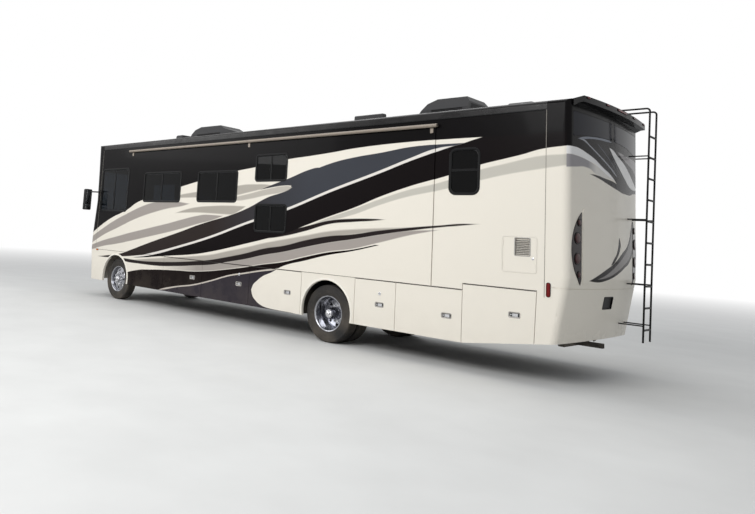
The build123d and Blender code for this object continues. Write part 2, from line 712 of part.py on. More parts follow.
# Prop shaft from the gearbox back to the differential
with BuildPart() as driveshaft:
    shaft_front = Vector(ahead(gearbox_rear) - 1.5, 0, 620)
    shaft_rear = Vector(ahead(pinion_face) + 1.5, 0, 480)
    shaft_dir = shaft_rear - shaft_front
    with BuildSketch(Plane(shaft_front, z_dir=shaft_dir)):
        Circle(42)
    extrude(amount=shaft_dir.length)
save(driveshaft.part, "driveshaft")

# Front axle beam, dropped under the engine, with kingpin bosses at its ends
boss_r, boss_low_z, boss_high_z = 42, 380, 560
with BuildPart() as front_axle:
    beam_y = kingpin_y - boss_r / 2
    with BuildSketch(Plane.XZ.offset(-beam_y)):
        with Locations((front_axle_x, boss_low_z + 35)):
            Rectangle(90, 70)
            with Locations((-35, 0), (35, 0)):
                Rectangle(30, 40, mode=Mode.SUBTRACT)
    extrude(amount=2 * beam_y)
    for side in (-1, 1):
        with Locations((front_axle_x, side * kingpin_y, boss_low_z)):
            Cylinder(boss_r, boss_high_z - boss_low_z, align=(Align.CENTER, Align.CENTER, Align.MIN))
        with Locations((front_axle_x, side * kingpin_y, boss_low_z - 40)):
            Cylinder(kingpin_r, boss_high_z - boss_low_z + 80, align=(Align.CENTER, Align.CENTER, Align.MIN))
save(front_axle.part, "front_axle")

# Steering knuckles: a fork round the kingpin boss and a spindle for the wheel
fork_gap, fork_t, fork_back = 3, 36, 52
for side, side_name in ((1, "left"), (-1, "right")):
    with BuildPart() as knuckle:
        for low_z in (boss_low_z - fork_gap - fork_t, boss_high_z + fork_gap):
            with BuildSketch(Plane.XY.offset(low_z)):
                with Locations((front_axle_x, side * kingpin_y)):
                    Circle(boss_r)
                with Locations((front_axle_x, side * (kingpin_y + fork_back / 2 + 10))):
                    Rectangle(2 * boss_r, fork_back + 20)
                with Locations((front_axle_x, side * kingpin_y)):
                    Circle(kingpin_r + seat_gap, mode=Mode.SUBTRACT)
            extrude(amount=fork_t)
        with Locations((front_axle_x, side * (kingpin_y + fork_back + 10), tyre_r)):
            Box(2 * boss_r, 20, boss_high_z - boss_low_z + 2 * (fork_gap + fork_t))
        spindle_start = kingpin_y + fork_back + 10
        with Locations((front_axle_x, side * (spindle_start + front_wheel_y + 60) / 2, tyre_r)):
            Cylinder(hub_r, front_wheel_y + 60 - spindle_start, rotation=(90, 0, 0))
    save(knuckle.part, f"knuckle_{side_name}")

# Leaf springs, bowed from the rails down to each axle
with BuildPart() as springs:
    for station, seat_z, reach in ((0, tyre_r + 75 + seat_gap, 680), (wheelbase, boss_low_z + 70 + seat_gap, 700)):
        eye_z = rail_bottom_z - seat_gap
        for side in (-1, 1):
            with BuildSketch(Plane.XZ.offset(-side * spring_y - rail_flange / 2 + 5)):
                with BuildLine():
                    ThreePointArc(
                        (ahead(station - reach), eye_z - 60), (ahead(station), seat_z + 40),
                        (ahead(station + reach), eye_z - 60))
                    Polyline((ahead(station + reach), eye_z - 60), (ahead(station + reach), eye_z),
                             (ahead(station + reach - 60), eye_z), (ahead(station + reach - 60), eye_z - 30))
                    ThreePointArc(
                        (ahead(station + reach - 60), eye_z - 30), (ahead(station), seat_z + 60),
                        (ahead(station - reach + 60), eye_z - 30))
                    Polyline((ahead(station - reach + 60), eye_z - 30), (ahead(station - reach + 60), eye_z),
                             (ahead(station - reach), eye_z), (ahead(station - reach), eye_z - 60))
                make_face()
                with Locations((ahead(station), seat_z)):
                    Rectangle(160, 50, align=(Align.CENTER, Align.MIN))
            extrude(amount=rail_flange - 10)
save(springs.part, "springs")


def tyre_profile(plane, centre_y, side):
    """Half section of a tyre: flat tread, chamfered shoulders and sidewalls widest at mid height."""
    half_section = [
        (rim_w / 2 - 5, bead_r + seat_gap), (tyre_w / 2, bulge_r), (tyre_w / 2 - 8, tyre_r - 20),
        (tyre_w / 2 - 30, tyre_r)]
    outline = half_section + [(-v, r) for v, r in reversed(half_section)]
    with BuildSketch(plane) as profile:
        Polygon(*[(side * (centre_y + v), r) for v, r in outline], align=None)
    return profile.sketch


def wheel_plane(station):
    """Plane whose x runs along the axle and whose y is the radius."""
    return Plane(origin=(ahead(station), 0, tyre_r), x_dir=(0, 1, 0), z_dir=(1, 0, 0))


def axle_line(station):
    return Axis((ahead(station), 0, tyre_r), (0, 1, 0))


# Front rims: disc near the outer face with hand holes, and a capped hub
disc_t, hand_hole_r, hand_hole_ring, hub_shell = 12, 26, 200, 62
for side, side_name in ((1, "left"), (-1, "right")):
    with BuildPart() as front_tyre:
        revolve(tyre_profile(wheel_plane(wheelbase), front_wheel_y, side), axis=axle_line(wheelbase))
    save(front_tyre.part, f"front_tyre_{side_name}")

    with BuildPart() as front_rim:
        with BuildSketch(wheel_plane(wheelbase)):
            y = front_wheel_y
            bore = hub_r + seat_gap
            for points in (
                ((y - rim_w / 2, bead_r - 12), (y + rim_w / 2, bead_r - 12), (y + rim_w / 2, bead_r),
                 (y - rim_w / 2, bead_r)),
                ((y + 38, bead_r - 6), (y + 38 + disc_t, bead_r - 6), (y + 70 + disc_t, 150), (y + 70, 140)),
                ((y - 50, bore), (y + 62, bore), (y + 62, 0), (y + 120, 0), (y + 110, hub_shell),
                 (y + 88, hub_shell + 10), (y + 88, 152), (y + 74, 152), (y + 68, hub_shell + 40),
                 (y - 50, hub_shell + 40)),
            ):
                Polygon(*[(side * v, r) for v, r in points], align=None)
        revolve(axis=axle_line(wheelbase))
        with Locations(Location(Plane(
                origin=(front_axle_x, side * front_wheel_y, tyre_r), x_dir=(1, 0, 0), z_dir=(0, side, 0)))):
            with PolarLocations(hand_hole_ring, 8):
                Cylinder(hand_hole_r, 300, mode=Mode.SUBTRACT)
    save(front_rim.part, f"front_rim_{side_name}")

# Rear twins: both tyres on one pair of rims bolted back to back
dual_inner_y = dual_outer_y - dual_spacing
dual_mid_y = dual_outer_y - dual_spacing / 2
for side, side_name in ((1, "left"), (-1, "right")):
    with BuildPart() as rear_tyres:
        for centre_y in (dual_outer_y, dual_inner_y):
            revolve(tyre_profile(wheel_plane(0), centre_y, side), axis=axle_line(0))
    save(rear_tyres.part, f"rear_tyres_{side_name}")

    with BuildPart() as rear_rims:
        with BuildSketch(wheel_plane(0)):
            bore = hub_r + seat_gap
            for y in (dual_outer_y, dual_inner_y):
                Polygon(*[(side * v, r) for v, r in (
                    (y - rim_w / 2, bead_r - 12), (y + rim_w / 2, bead_r - 12), (y + rim_w / 2, bead_r),
                    (y - rim_w / 2, bead_r))], align=None)
            for hand in (1, -1):
                Polygon(*[(side * (dual_mid_y + hand * v), r) for v, r in (
                    (0, 150), (disc_t, 150), (disc_t, 225), (105, bead_r - 6), (105 - disc_t, bead_r - 6),
                    (0, 235))], align=None)
            y = dual_mid_y
            Polygon(*[(side * v, r) for v, r in (
                (y - 60, bore), (spindle_end + 5, bore), (spindle_end + 5, 0), (spindle_end + 40, 0),
                (spindle_end + 30, hub_shell + 10), (spindle_end - 30, hub_shell + 38), (y + 30, hub_shell + 45),
                (y + 30, 155), (y - 30, 155), (y - 30, hub_shell + 45), (y - 60, hub_shell + 45))], align=None)
        revolve(axis=axle_line(0))
        with Locations(Location(Plane(
                origin=(rear_axle_x, side * dual_mid_y, tyre_r), x_dir=(1, 0, 0), z_dir=(0, side, 0)))):
            with PolarLocations(hand_hole_ring - 10, 8):
                Cylinder(hand_hole_r, 120, mode=Mode.SUBTRACT)
    save(rear_rims.part, f"rear_rims_{side_name}")

# Slide-out room: outer wall with its windows, glass, and the box that runs on the floor
slide_skin = Plane.XZ.offset(-(half + slide_proud))
with BuildPart() as slide_wall:
    with BuildSketch(slide_skin):
        with Locations((ahead((slide_rear + slide_front) / 2), sill_z)):
            Rectangle(slide_front - slide_rear, slide_top_z - sill_z, align=(Align.CENTER, Align.MIN))
    extrude(amount=wall_t)
    extrude(window_sketch(slide_skin, slide_windows), amount=wall_t, mode=Mode.SUBTRACT)
save(slide_wall.part, "slide_wall")

save(window_units(1, slide_windows, slide_proud), "slide_glass")

slide_wall_inner = half + slide_proud - wall_t
slide_depth = slide_wall_inner - seat_gap - slide_inner_y
box_floor_z = deck_top_z + seat_gap
with BuildPart() as slide_box:
    with BuildSketch(Plane.XZ.offset(-(slide_wall_inner - seat_gap))):
        with Locations((ahead((slide_rear + slide_front) / 2), (box_floor_z + slide_top_z - 10) / 2)):
            Rectangle(slide_front - slide_rear - 20, slide_top_z - 10 - box_floor_z)
            Rectangle(slide_front - slide_rear - 20 - 2 * slide_plate,
                      slide_top_z - 10 - box_floor_z - 2 * slide_plate, mode=Mode.SUBTRACT)
    extrude(amount=slide_depth)
save(slide_box.part, "slide_box")

# Topper roller along the slide-out's upper edge
topper_r, topper_z, topper_over, topper_stand = 28, 3455, 45, 8
topper_y = half + slide_proud + seat_gap + topper_r + topper_stand
with BuildPart() as slide_topper:
    with BuildSketch(Plane.YZ.offset(ahead(slide_rear - topper_over))):
        with Locations((topper_y, topper_z)):
            Circle(topper_r)
    extrude(amount=slide_front - slide_rear + 2 * topper_over)
    for station in (slide_rear + 60, (slide_rear + slide_front) / 2, slide_front - 60):
        with Locations((ahead(station), half + slide_proud + seat_gap, slide_top_z - 70)):
            Box(50, topper_stand - seat_gap, topper_z - slide_top_z + 70,
                align=(Align.CENTER, Align.MIN, Align.MIN))
save(slide_topper.part, "slide_topper")

# Entry door with its window
with BuildPart() as entry_door:
    with BuildSketch(skin(-1, door_t)):
        with Locations((entry_mid, entry_bottom_z)):
            Rectangle(entry_front - entry_rear, entry_top_z - entry_bottom_z, align=(Align.CENTER, Align.MIN))
    extrude(amount=door_t)
    extrude(window_sketch(skin(-1, door_t), entry_windows), amount=door_t, mode=Mode.SUBTRACT)
save(entry_door.part, "entry_door")

save(window_units(-1, entry_windows), "entry_glass")

# Folding step stowed under the stairwell
with BuildPart() as entry_step:
    with Locations((entry_mid, -(well_tread + deck_y) / 2, entry_bottom_z - seat_gap)):
        Box(560, 300, 50, align=(Align.CENTER, Align.CENTER, Align.MAX))
save(entry_step.part, "entry_step")

# Everything on the roof stands a hair above its crown
with BuildPart() as roof_space:
    extrude(coach_section(Plane.YZ.offset(ahead(rear_centre)), wall_top_z - 500, -seat_gap),
            amount=front_nose - rear_centre)

# Air conditioners: side profiles across the coach
ac_half, ac_crown_half, ac_shoulder_z, ac_top_z = 360, 280, 3930, 4105
ac_front, ac_rear = wheelbase - 3070, -1940
with BuildPart() as ac_units:
    with BuildSketch(Plane.XZ.offset(-ac_half)):
        base_z = roof_edge_z
        x = ahead(ac_front)
        Polygon(
            (x, base_z), (x, 3850), (x + 670, 4030), (x + 790, ac_top_z - 8), (x + 1490, ac_top_z),
            (x + 1670, 4040), (x + 1750, 3900), (x + 1750, base_z), align=None)
        x = ahead(ac_rear)
        Polygon(
            (x, base_z), (x, 4020), (x + 60, ac_top_z), (x + 590, ac_top_z + 5), (x + 760, 4040),
            (x + 900, 3860), (x + 900, base_z), align=None)
    extrude(amount=2 * ac_half)
    with BuildSketch(Plane.YZ.offset(ahead(rear_centre))):
        Polygon(
            (-ac_half, base_z), (-ac_half, ac_shoulder_z), (-ac_crown_half, ac_top_z + 5),
            (ac_crown_half, ac_top_z + 5), (ac_half, ac_shoulder_z), (ac_half, base_z), align=None)
    extrude(amount=front_nose - rear_centre, mode=Mode.INTERSECT)
    add(roof_space.part, mode=Mode.SUBTRACT)
save(ac_units.part, "ac_units")

# Roof fittings: station, y, length, width, height above the crown
fitting_table = [
    (wheelbase - 3650, 0, 400, 400, 90), (700, -450, 360, 360, 90), (-2900, 450, 400, 400, 110),
    (wheelbase - 1050, 300, 260, 420, 190), (-40, 350, 640, 120, 210), (wheelbase - 200, -500, 380, 380, 90),
]
with BuildPart() as roof_fittings:
    for station, y, length, width, height in fitting_table:
        with Locations((ahead(station), y, roof_edge_z)):
            Box(length, width, crown_z - roof_edge_z + height, align=(Align.CENTER, Align.CENTER, Align.MIN))
    add(roof_space.part, mode=Mode.SUBTRACT)
save(roof_fittings.part, "roof_fittings")

# Patio awning rolled up on the right wall
awning_rear, awning_front, awning_r, awning_z = -1560, entry_rear - 210, 45, 3420
with BuildPart() as awning:
    awning_y = -(half + seat_gap + 12 + awning_r)
    with BuildSketch(Plane.YZ.offset(ahead(awning_rear))):
        with Locations((awning_y, awning_z)):
            Circle(awning_r)
    extrude(amount=awning_front - awning_rear)
    for station in (awning_rear + 40, awning_front - 40):
        with Locations((ahead(station), -(half + seat_gap), awning_z)):
            Box(60, awning_r + 12, 60, align=(Align.CENTER, Align.MAX, Align.CENTER))
        with Locations((ahead(station), -(half + seat_gap), awning_z)):
            Box(45, 22, 1500, align=(Align.CENTER, Align.MAX, Align.MAX))
save(awning.part, "awning")

# Mirrors on arms from the front cap
mirror_x, mirror_y, mirror_low_z, mirror_high_z = front_seam + 235, 1500, 2050, 2560
mirror_d, mirror_w, arm_x, arm_z, arm_r = 120, 180, front_seam + 24, 2500, 16
with BuildPart() as mirrors:
    for side in (-1, 1):
        with Locations((ahead(mirror_x), side * mirror_y, (mirror_low_z + mirror_high_z) / 2)):
            Box(mirror_d, mirror_w, mirror_high_z - mirror_low_z)
    fillet(mirrors.edges(), 25)
    for side in (-1, 1):
        with Locations((ahead(arm_x), side * (half + seat_gap + 6), arm_z)):
            Box(36, 12, 140)
        with BuildLine() as arm_path:
            FilletPolyline(
                (ahead(arm_x), side * (half + seat_gap + 6), arm_z), (ahead(arm_x), side * (half + 75), arm_z),
                (ahead(mirror_x), side * (mirror_y - 20), arm_z), radius=40)
        with BuildSketch(Plane(arm_path.line @ 0, z_dir=arm_path.line % 0)):
            Circle(arm_r)
        sweep(path=arm_path.line)
save(mirrors.part, "mirrors")

# Ladder up the rear cap on the right, its tops carried over onto the roof
ladder_rails, ladder_low_z, ladder_high_z, ladder_foot_z = (-650, -950), 530, 3850, 3690
rung_pitch, rung_count, rung_r = 305, 10, 11
standoffs = [3160, 2250, 1330, 760]


def ladder_x(z):
    share = (z - ladder_low_z) / (ladder_high_z - ladder_low_z)
    return ahead(ladder_bottom + share * (ladder_top - ladder_bottom))


rear_clear = rear_form(-seat_gap, rear_seam_low + 100, skirt_z)
panel_clear = rear_layer(
    -panel_proud - seat_gap, 0,
    centred_outline(panel_half + seat_gap, panel_low - seat_gap, panel_high + seat_gap, panel_corner))
with BuildPart() as ladder:
    for y in ladder_rails:
        with BuildLine() as rail_path:
            FilletPolyline(
                (ladder_x(ladder_low_z), y, ladder_low_z), (ladder_x(ladder_high_z), y, ladder_high_z),
                (ahead(-3760), y, ladder_high_z), (ahead(-3680), y, ladder_foot_z), radius=45)
        with BuildSketch(Plane(rail_path.line @ 0, z_dir=rail_path.line % 0)):
            Circle(ladder_tube_r)
        sweep(path=rail_path.line)
        for z in standoffs:
            with BuildSketch(Plane.YZ.offset(ladder_x(z))):
                with Locations((y, z)):
                    Circle(9)
            extrude(amount=450)
    for rung in range(rung_count):
        z = ladder_low_z + 170 + rung * rung_pitch
        with Locations((ladder_x(z), sum(ladder_rails) / 2, z)):
            Cylinder(rung_r, ladder_rails[0] - ladder_rails[1], rotation=(90, 0, 0))
    for space in (rear_clear, panel_clear, roof_space.part):
        add(space, mode=Mode.SUBTRACT)
save(ladder.part, "ladder")

# Hitch receiver: square socket on a cross tube, between plates bolted to the rails
receiver_z, receiver_out, receiver_in, receiver_rear, receiver_len = 480, 63.5, 51.0, -3830, 420
hitch_tube, hitch_plate, hitch_rise = 80, 12, 150
hitch_pin_r, hitch_pin_x = 8.1, receiver_rear + 65
with BuildPart() as hitch:
    with Locations((ahead(receiver_rear), 0, receiver_z)):
        Box(receiver_len, receiver_out, receiver_out, align=(Align.MIN, Align.CENTER, Align.CENTER))
    with Locations((ahead(receiver_rear + receiver_len), 0, receiver_z)):
        Box(hitch_tube, 2 * rail_y, hitch_tube, align=(Align.MAX, Align.CENTER, Align.CENTER))
    for side in (-1, 1):
        with BuildSketch(Plane.XZ.offset(-side * (rail_y + seat_gap + hitch_plate / 2) - hitch_plate / 2)):
            tube_front = receiver_rear + receiver_len
            Polygon(
                (ahead(tube_front - hitch_tube), receiver_z - hitch_tube / 2),
                (ahead(tube_front), receiver_z - hitch_tube / 2), (ahead(tube_front + 160), rail_bottom_z),
                (ahead(tube_front + 160), rail_bottom_z + hitch_rise),
                (ahead(tube_front - hitch_tube), rail_bottom_z + hitch_rise), align=None)
        extrude(amount=hitch_plate)
    with Locations((ahead(receiver_rear), 0, receiver_z)):
        Box(300, receiver_in, receiver_in, align=(Align.MIN, Align.CENTER, Align.CENTER), mode=Mode.SUBTRACT)
    with Locations((ahead(hitch_pin_x), 0, receiver_z)):
        Cylinder(hitch_pin_r, receiver_out + 40, rotation=(90, 0, 0), mode=Mode.SUBTRACT)
save(hitch.part, "hitch")

# Levelling jacks, drawn up under the rails
with BuildPart() as jacks:
    for station in (-1000, wheelbase - 950):
        for side in (-1, 1):
            with Locations((ahead(station), side * spring_y, rail_bottom_z - seat_gap)):
                Cylinder(48, 380, align=(Align.CENTER, Align.CENTER, Align.MAX))
                Cylinder(30, 440, align=(Align.CENTER, Align.CENTER, Align.MAX))
            with Locations((ahead(station), side * spring_y, rail_bottom_z - seat_gap - 440)):
                Cylinder(100, 15, align=(Align.CENTER, Align.CENTER, Align.MAX))
save(jacks.part, "jacks")

# Dashboard under the windshield
dash_x, dash_half = ahead(front_seam + 90), 1080
with BuildPart() as dashboard:
    with BuildSketch(Plane.XZ.offset(-dash_half)):
        Polygon(
            (dash_x, deck_top_z + seat_gap), (dash_x, 1690), (dash_x - 130, 1730), (dash_x - 370, 1650),
            (dash_x - 440, 1590), (dash_x - 420, 1490), (dash_x - 230, 1420), (dash_x - 60, 1400),
            (dash_x - 60, deck_top_z + seat_gap), align=None)
    extrude(amount=2 * dash_half)
save(dashboard.part, "dashboard")

# Steering wheel on its column, in front of the left seat
wheel_ring_r, wheel_grip_r, column_r = 200, 15, 24
with BuildPart() as steering_wheel:
    wheel_centre = Vector(ahead(seat_front + 165), seat_y, 1800)
    tilt = radians(35)
    column_dir = Vector(cos(tilt), 0, -sin(tilt))
    wheel_plane_tilted = Plane(wheel_centre, x_dir=(0, 1, 0), z_dir=column_dir)
    rim_plane = Plane(wheel_centre, x_dir=(0, 1, 0), z_dir=wheel_plane_tilted.y_dir)
    with BuildSketch(rim_plane) as grip:
        with Locations((wheel_ring_r, 0)):
            RegularPolygon(wheel_grip_r, 8)
    revolve(axis=Axis(wheel_centre, column_dir))
    with Locations(Location(wheel_plane_tilted)):
        Box(2 * wheel_ring_r, 40, 12)
        Cylinder(55, 40)
    with BuildSketch(wheel_plane_tilted):
        Circle(column_r)
    extrude(amount=330)
    add(dashboard.part, mode=Mode.SUBTRACT)
save(steering_wheel.part, "steering_wheel")

# Front seats: cushion and back of each in one soft solid
cushion_t, back_t, back_top_z = 150, 140, 2280
with BuildPart() as seats:
    for side in (-1, 1):
        low_z = seat_box_z + seat_gap
        with BuildSketch(Plane.XZ.offset(-side * seat_y - seat_w / 2)):
            Polygon(
                (ahead(seat_front), low_z), (ahead(seat_front), low_z + cushion_t),
                (ahead(seat_rear + back_t), low_z + cushion_t - 10), (ahead(seat_rear + back_t - 110), back_top_z),
                (ahead(seat_rear - 110), back_top_z), (ahead(seat_rear), low_z), align=None)
        extrude(amount=seat_w)
save(seats.part, "seats")
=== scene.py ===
import math

import bmesh
import bpy
from mathutils import Matrix, Vector
from mathutils.bvhtree import BVHTree


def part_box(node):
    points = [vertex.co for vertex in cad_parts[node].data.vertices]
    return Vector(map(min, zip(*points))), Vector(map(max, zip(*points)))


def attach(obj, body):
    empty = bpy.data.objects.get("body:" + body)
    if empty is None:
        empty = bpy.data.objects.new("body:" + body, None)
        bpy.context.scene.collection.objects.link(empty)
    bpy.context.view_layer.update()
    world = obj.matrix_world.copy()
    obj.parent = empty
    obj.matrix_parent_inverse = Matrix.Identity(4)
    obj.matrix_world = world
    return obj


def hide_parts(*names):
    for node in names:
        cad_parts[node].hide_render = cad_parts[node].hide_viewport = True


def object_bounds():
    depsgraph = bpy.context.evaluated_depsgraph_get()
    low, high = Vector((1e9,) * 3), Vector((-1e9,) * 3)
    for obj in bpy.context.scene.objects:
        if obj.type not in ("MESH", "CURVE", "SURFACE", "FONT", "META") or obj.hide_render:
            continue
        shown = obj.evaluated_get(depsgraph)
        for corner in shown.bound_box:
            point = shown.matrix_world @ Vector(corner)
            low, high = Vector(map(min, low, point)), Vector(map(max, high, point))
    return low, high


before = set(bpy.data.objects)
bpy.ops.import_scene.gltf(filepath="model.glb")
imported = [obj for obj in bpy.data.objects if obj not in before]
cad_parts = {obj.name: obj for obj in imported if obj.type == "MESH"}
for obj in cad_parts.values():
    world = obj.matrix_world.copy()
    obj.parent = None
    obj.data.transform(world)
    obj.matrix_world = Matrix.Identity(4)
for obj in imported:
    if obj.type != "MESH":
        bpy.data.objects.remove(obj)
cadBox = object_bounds()
cadLow, cadHigh = cadBox


def middle(node):
    low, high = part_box(node)
    return (low + high) / 2


rearAxle = middle("rear_axle")
wheelbase = middle("front_axle").x - rearAxle.x
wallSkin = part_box("wall_left")[1].y
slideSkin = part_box("slide_wall")[1].y
print("frame loaded:", len(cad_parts), "nodes")


def station(distance):
    return rearAxle.x + distance  # distances along the coach are measured forwards from the rear axle


def tone(red, green, blue):
    channels = [v / 255 for v in (red, green, blue)]
    return tuple([v / 12.92 if v < 0.04 else ((v + 0.055) / 1.055) ** 2.4 for v in channels] + [1.0])


# Shader building blocks

def newGroup(name, inputs, outputs):
    group = bpy.data.node_groups.new(name, "ShaderNodeTree")
    for label, kind, value in inputs:
        socket = group.interface.new_socket(label, in_out="INPUT", socket_type=kind)
        socket.default_value = value
    for label, kind in outputs:
        group.interface.new_socket(label, in_out="OUTPUT", socket_type=kind)
    return group, group.nodes.new("NodeGroupInput"), group.nodes.new("NodeGroupOutput")


def feed(tree, socket, value):
    if isinstance(value, bpy.types.NodeSocket):
        tree.links.new(value, socket)
    elif value is not None:
        socket.default_value = value


def maths(tree, operation, first, second=None, clamp=False):
    node = tree.nodes.new("ShaderNodeMath")
    node.operation = operation
    node.use_clamp = clamp
    feed(tree, node.inputs[0], first)
    feed(tree, node.inputs[1], second)
    return node.outputs[0]


def mixColour(tree, share, under, over):
    node = tree.nodes.new("ShaderNodeMix")
    node.data_type = "RGBA"
    feed(tree, node.inputs[0], share)
    feed(tree, node.inputs[6], under)
    feed(tree, node.inputs[7], over)
    return node.outputs[2]


def mapRange(tree, value, fromLow, fromHigh, toLow=0.0, toHigh=1.0):
    node = tree.nodes.new("ShaderNodeMapRange")
    for socket, entry in zip(node.inputs, (value, fromLow, fromHigh, toLow, toHigh)):
        feed(tree, socket, entry)
    return node.outputs[0]


def useGroup(tree, group, **values):
    node = tree.nodes.new("ShaderNodeGroup")
    node.node_tree = group
    for label, value in values.items():
        feed(tree, node.inputs[label], value)
    return node


def buildGrain():
    group, start, end = newGroup(
        "fineGrain", [("Place", "NodeSocketVector", (0, 0, 0)), ("Scale", "NodeSocketFloat", 40.0),
                      ("Low", "NodeSocketFloat", 0.3), ("High", "NodeSocketFloat", 0.5)],
        [("Value", "NodeSocketFloat"), ("Mottle", "NodeSocketFloat")])
    noise = group.nodes.new("ShaderNodeTexNoise")
    noise.inputs["Detail"].default_value = 5.0
    group.links.new(start.outputs["Place"], noise.inputs["Vector"])
    group.links.new(start.outputs["Scale"], noise.inputs["Scale"])
    spread = mapRange(group, noise.outputs[0], 0.3, 0.7, start.outputs["Low"], start.outputs["High"])
    group.links.new(spread, end.inputs["Value"])
    group.links.new(noise.outputs[0], end.inputs["Mottle"])
    return group


dustLook = {"patchScale": 3.5, "patchDetail": 6.0, "thickBelow": 0.35, "patches": (0.35, 0.75),
            "tone": tone(150, 138, 122)}


def buildDust():
    group, start, end = newGroup(
        "roadDust", [("Colour", "NodeSocketColor", (1, 1, 1, 1)), ("Place", "NodeSocketVector", (0, 0, 0)),
                     ("Amount", "NodeSocketFloat", 0.3), ("Reach", "NodeSocketFloat", 1.1)],
        [("Colour", "NodeSocketColor"), ("Dust", "NodeSocketFloat")])
    split = group.nodes.new("ShaderNodeSeparateXYZ")
    group.links.new(start.outputs["Place"], split.inputs[0])
    noise = group.nodes.new("ShaderNodeTexNoise")
    noise.inputs["Scale"].default_value = dustLook["patchScale"]
    noise.inputs["Detail"].default_value = dustLook["patchDetail"]
    group.links.new(start.outputs["Place"], noise.inputs["Vector"])
    low = mapRange(group, split.outputs[2], start.outputs["Reach"], dustLook["thickBelow"])
    patchy = maths(group, "MULTIPLY", low, mapRange(group, noise.outputs[0], *dustLook["patches"]))
    dust = maths(group, "MULTIPLY", patchy, start.outputs["Amount"])
    dusty = mixColour(group, dust, start.outputs["Colour"], dustLook["tone"])
    group.links.new(dusty, end.inputs["Colour"])
    group.links.new(dust, end.inputs["Dust"])
    return group


def buildBand():
    group, start, end = newGroup(
        "stripeBand", [("Height", "NodeSocketFloat", 0.0), ("Upper", "NodeSocketFloat", 1.0),
                       ("Lower", "NodeSocketFloat", 0.0), ("Softness", "NodeSocketFloat", 0.006)],
        [("Mask", "NodeSocketFloat")])
    above = maths(group, "SUBTRACT", start.outputs["Height"], start.outputs["Lower"])
    below = maths(group, "SUBTRACT", start.outputs["Upper"], start.outputs["Height"])
    inside = maths(group, "DIVIDE", maths(group, "MINIMUM", above, below), start.outputs["Softness"])
    group.links.new(maths(group, "ADD", inside, 0.5, clamp=True), end.inputs["Mask"])
    return group


fineGrain, roadDust, stripeBand = buildGrain(), buildDust(), buildBand()


def startMaterial(name, **settings):
    material = bpy.data.materials.new(name)
    material.use_nodes = True
    tree = material.node_tree
    shader = tree.nodes["Principled BSDF"]
    for label, value in settings.items():
        shader.inputs[label.replace("_", " ")].default_value = value
    place = tree.nodes.new("ShaderNodeTexCoord").outputs["Object"]
    return material, tree, shader, place


def addBump(tree, shader, height, strength, distance):
    bump = tree.nodes.new("ShaderNodeBump")
    bump.inputs["Strength"].default_value = strength
    bump.inputs["Distance"].default_value = distance
    feed(tree, bump.inputs["Height"], height)
    feed(tree, shader.inputs["Normal"], bump.outputs[0])


def plainFinish(name, dark, light, scale, rough, bump, depth=0.001, dust=0.0, **settings):
    material, tree, shader, place = startMaterial(name, **settings)
    grain = useGroup(tree, fineGrain, Place=place, Scale=scale, Low=rough[0], High=rough[1])
    colour = mixColour(tree, grain.outputs["Mottle"], dark, light)
    if dust:
        dusty = useGroup(tree, roadDust, Colour=colour, Place=place, Amount=dust)
        colour = dusty.outputs["Colour"]
    feed(tree, shader.inputs["Base Color"], colour)
    feed(tree, shader.inputs["Roughness"], grain.outputs["Value"])
    if bump:
        addBump(tree, shader, grain.outputs["Mottle"], bump, depth)
    return material


# Coach paint. Stripes lie between an upper and a lower line, as (station or y, height) points. A band
# gives both lines at once, as (station or y, upper height, lower height). Later stripes cover earlier ones.

cream, taupe, paleGrey, black = tone(229, 223, 211), tone(158, 151, 145), tone(190, 186, 176), tone(10, 8, 9)
lining = tone(186, 178, 164)
belowAll, aboveAll = 0.1, 4.6

swooshFoot = [(-3.83, 3.06), (-3.5, 3.03), (-3.25, 2.97), (-3.0, 2.92), (-2.65, 2.85), (-2.2, 2.72),
              (-1.5, 2.55), (-1.0, 2.40), (-0.5, 2.22), (0, 2.07), (0.5, 1.91), (1.0, 1.74), (1.5, 1.62),
              (2.0, 1.51), (2.5, 1.40), (3.0, 1.30), (3.5, 1.22), (4.5, 1.12), (5.5, 1.02), (5.85, 1.0)]
pinLine = [(-2.3, 3.15), (-2.0, 3.10), (-1.5, 2.96), (-1, 2.80), (0, 2.50), (1, 2.17), (2, 1.90), (3, 1.60),
           (4, 1.35), (5, 1.13), (6, 0.97)]
upperEdge = [(-2.87, 3.24), (-2.0, 3.245), (-1.5, 3.24), (-1, 3.225), (-0.4, 3.19), (0, 3.15), (0.5, 3.11),
             (1.05, 3.07), (1.9, 2.95), (2.35, 2.90), (3.6, 2.70), (4.13, 2.60), (5.45, 2.33), (5.75, 2.24),
             (6.05, 2.10), (6.3, 2.02), (6.75, 1.88), (7.25, 1.66), (7.62, 1.46)]
skirtLine = [(-0.95, 1.645), (-0.5, 1.545), (0, 1.47), (0.5, 1.36), (1, 1.24), (1.5, 1.16), (2, 1.07),
             (2.5, 0.99), (3, 0.92), (3.5, 0.87), (4, 0.85), (5, 0.79), (5.5, 0.74), (6.0, 0.61), (6.35, 0.3)]
skirtSplit = [(0.8, 1.175), (1.2, 1.10), (1.6, 1.035), (2.0, 0.96), (2.4, 0.885), (3.0, 0.72), (3.5, 0.60),
              (4.0, 0.52), (4.5, 0.42), (4.7, 0.38)]
footBand = [(-2.8, 2.03, 2.03), (-2.5, 2.022, 2.005), (-2, 1.98, 1.95), (-1.5, 1.93, 1.88), (-1, 1.87, 1.80),
            (-0.5, 1.79, 1.71), (0, 1.74, 1.63), (0.5, 1.65, 1.53), (1, 1.53, 1.42), (1.5, 1.45, 1.33),
            (2, 1.33, 1.22), (2.5, 1.23, 1.13), (3, 1.14, 1.04), (3.5, 1.08, 0.99), (4, 1.03, 0.94),
            (5, 0.965, 0.885), (5.5, 0.955, 0.885), (6.05, 0.965, 0.90), (6.3, 0.94, 0.94)]
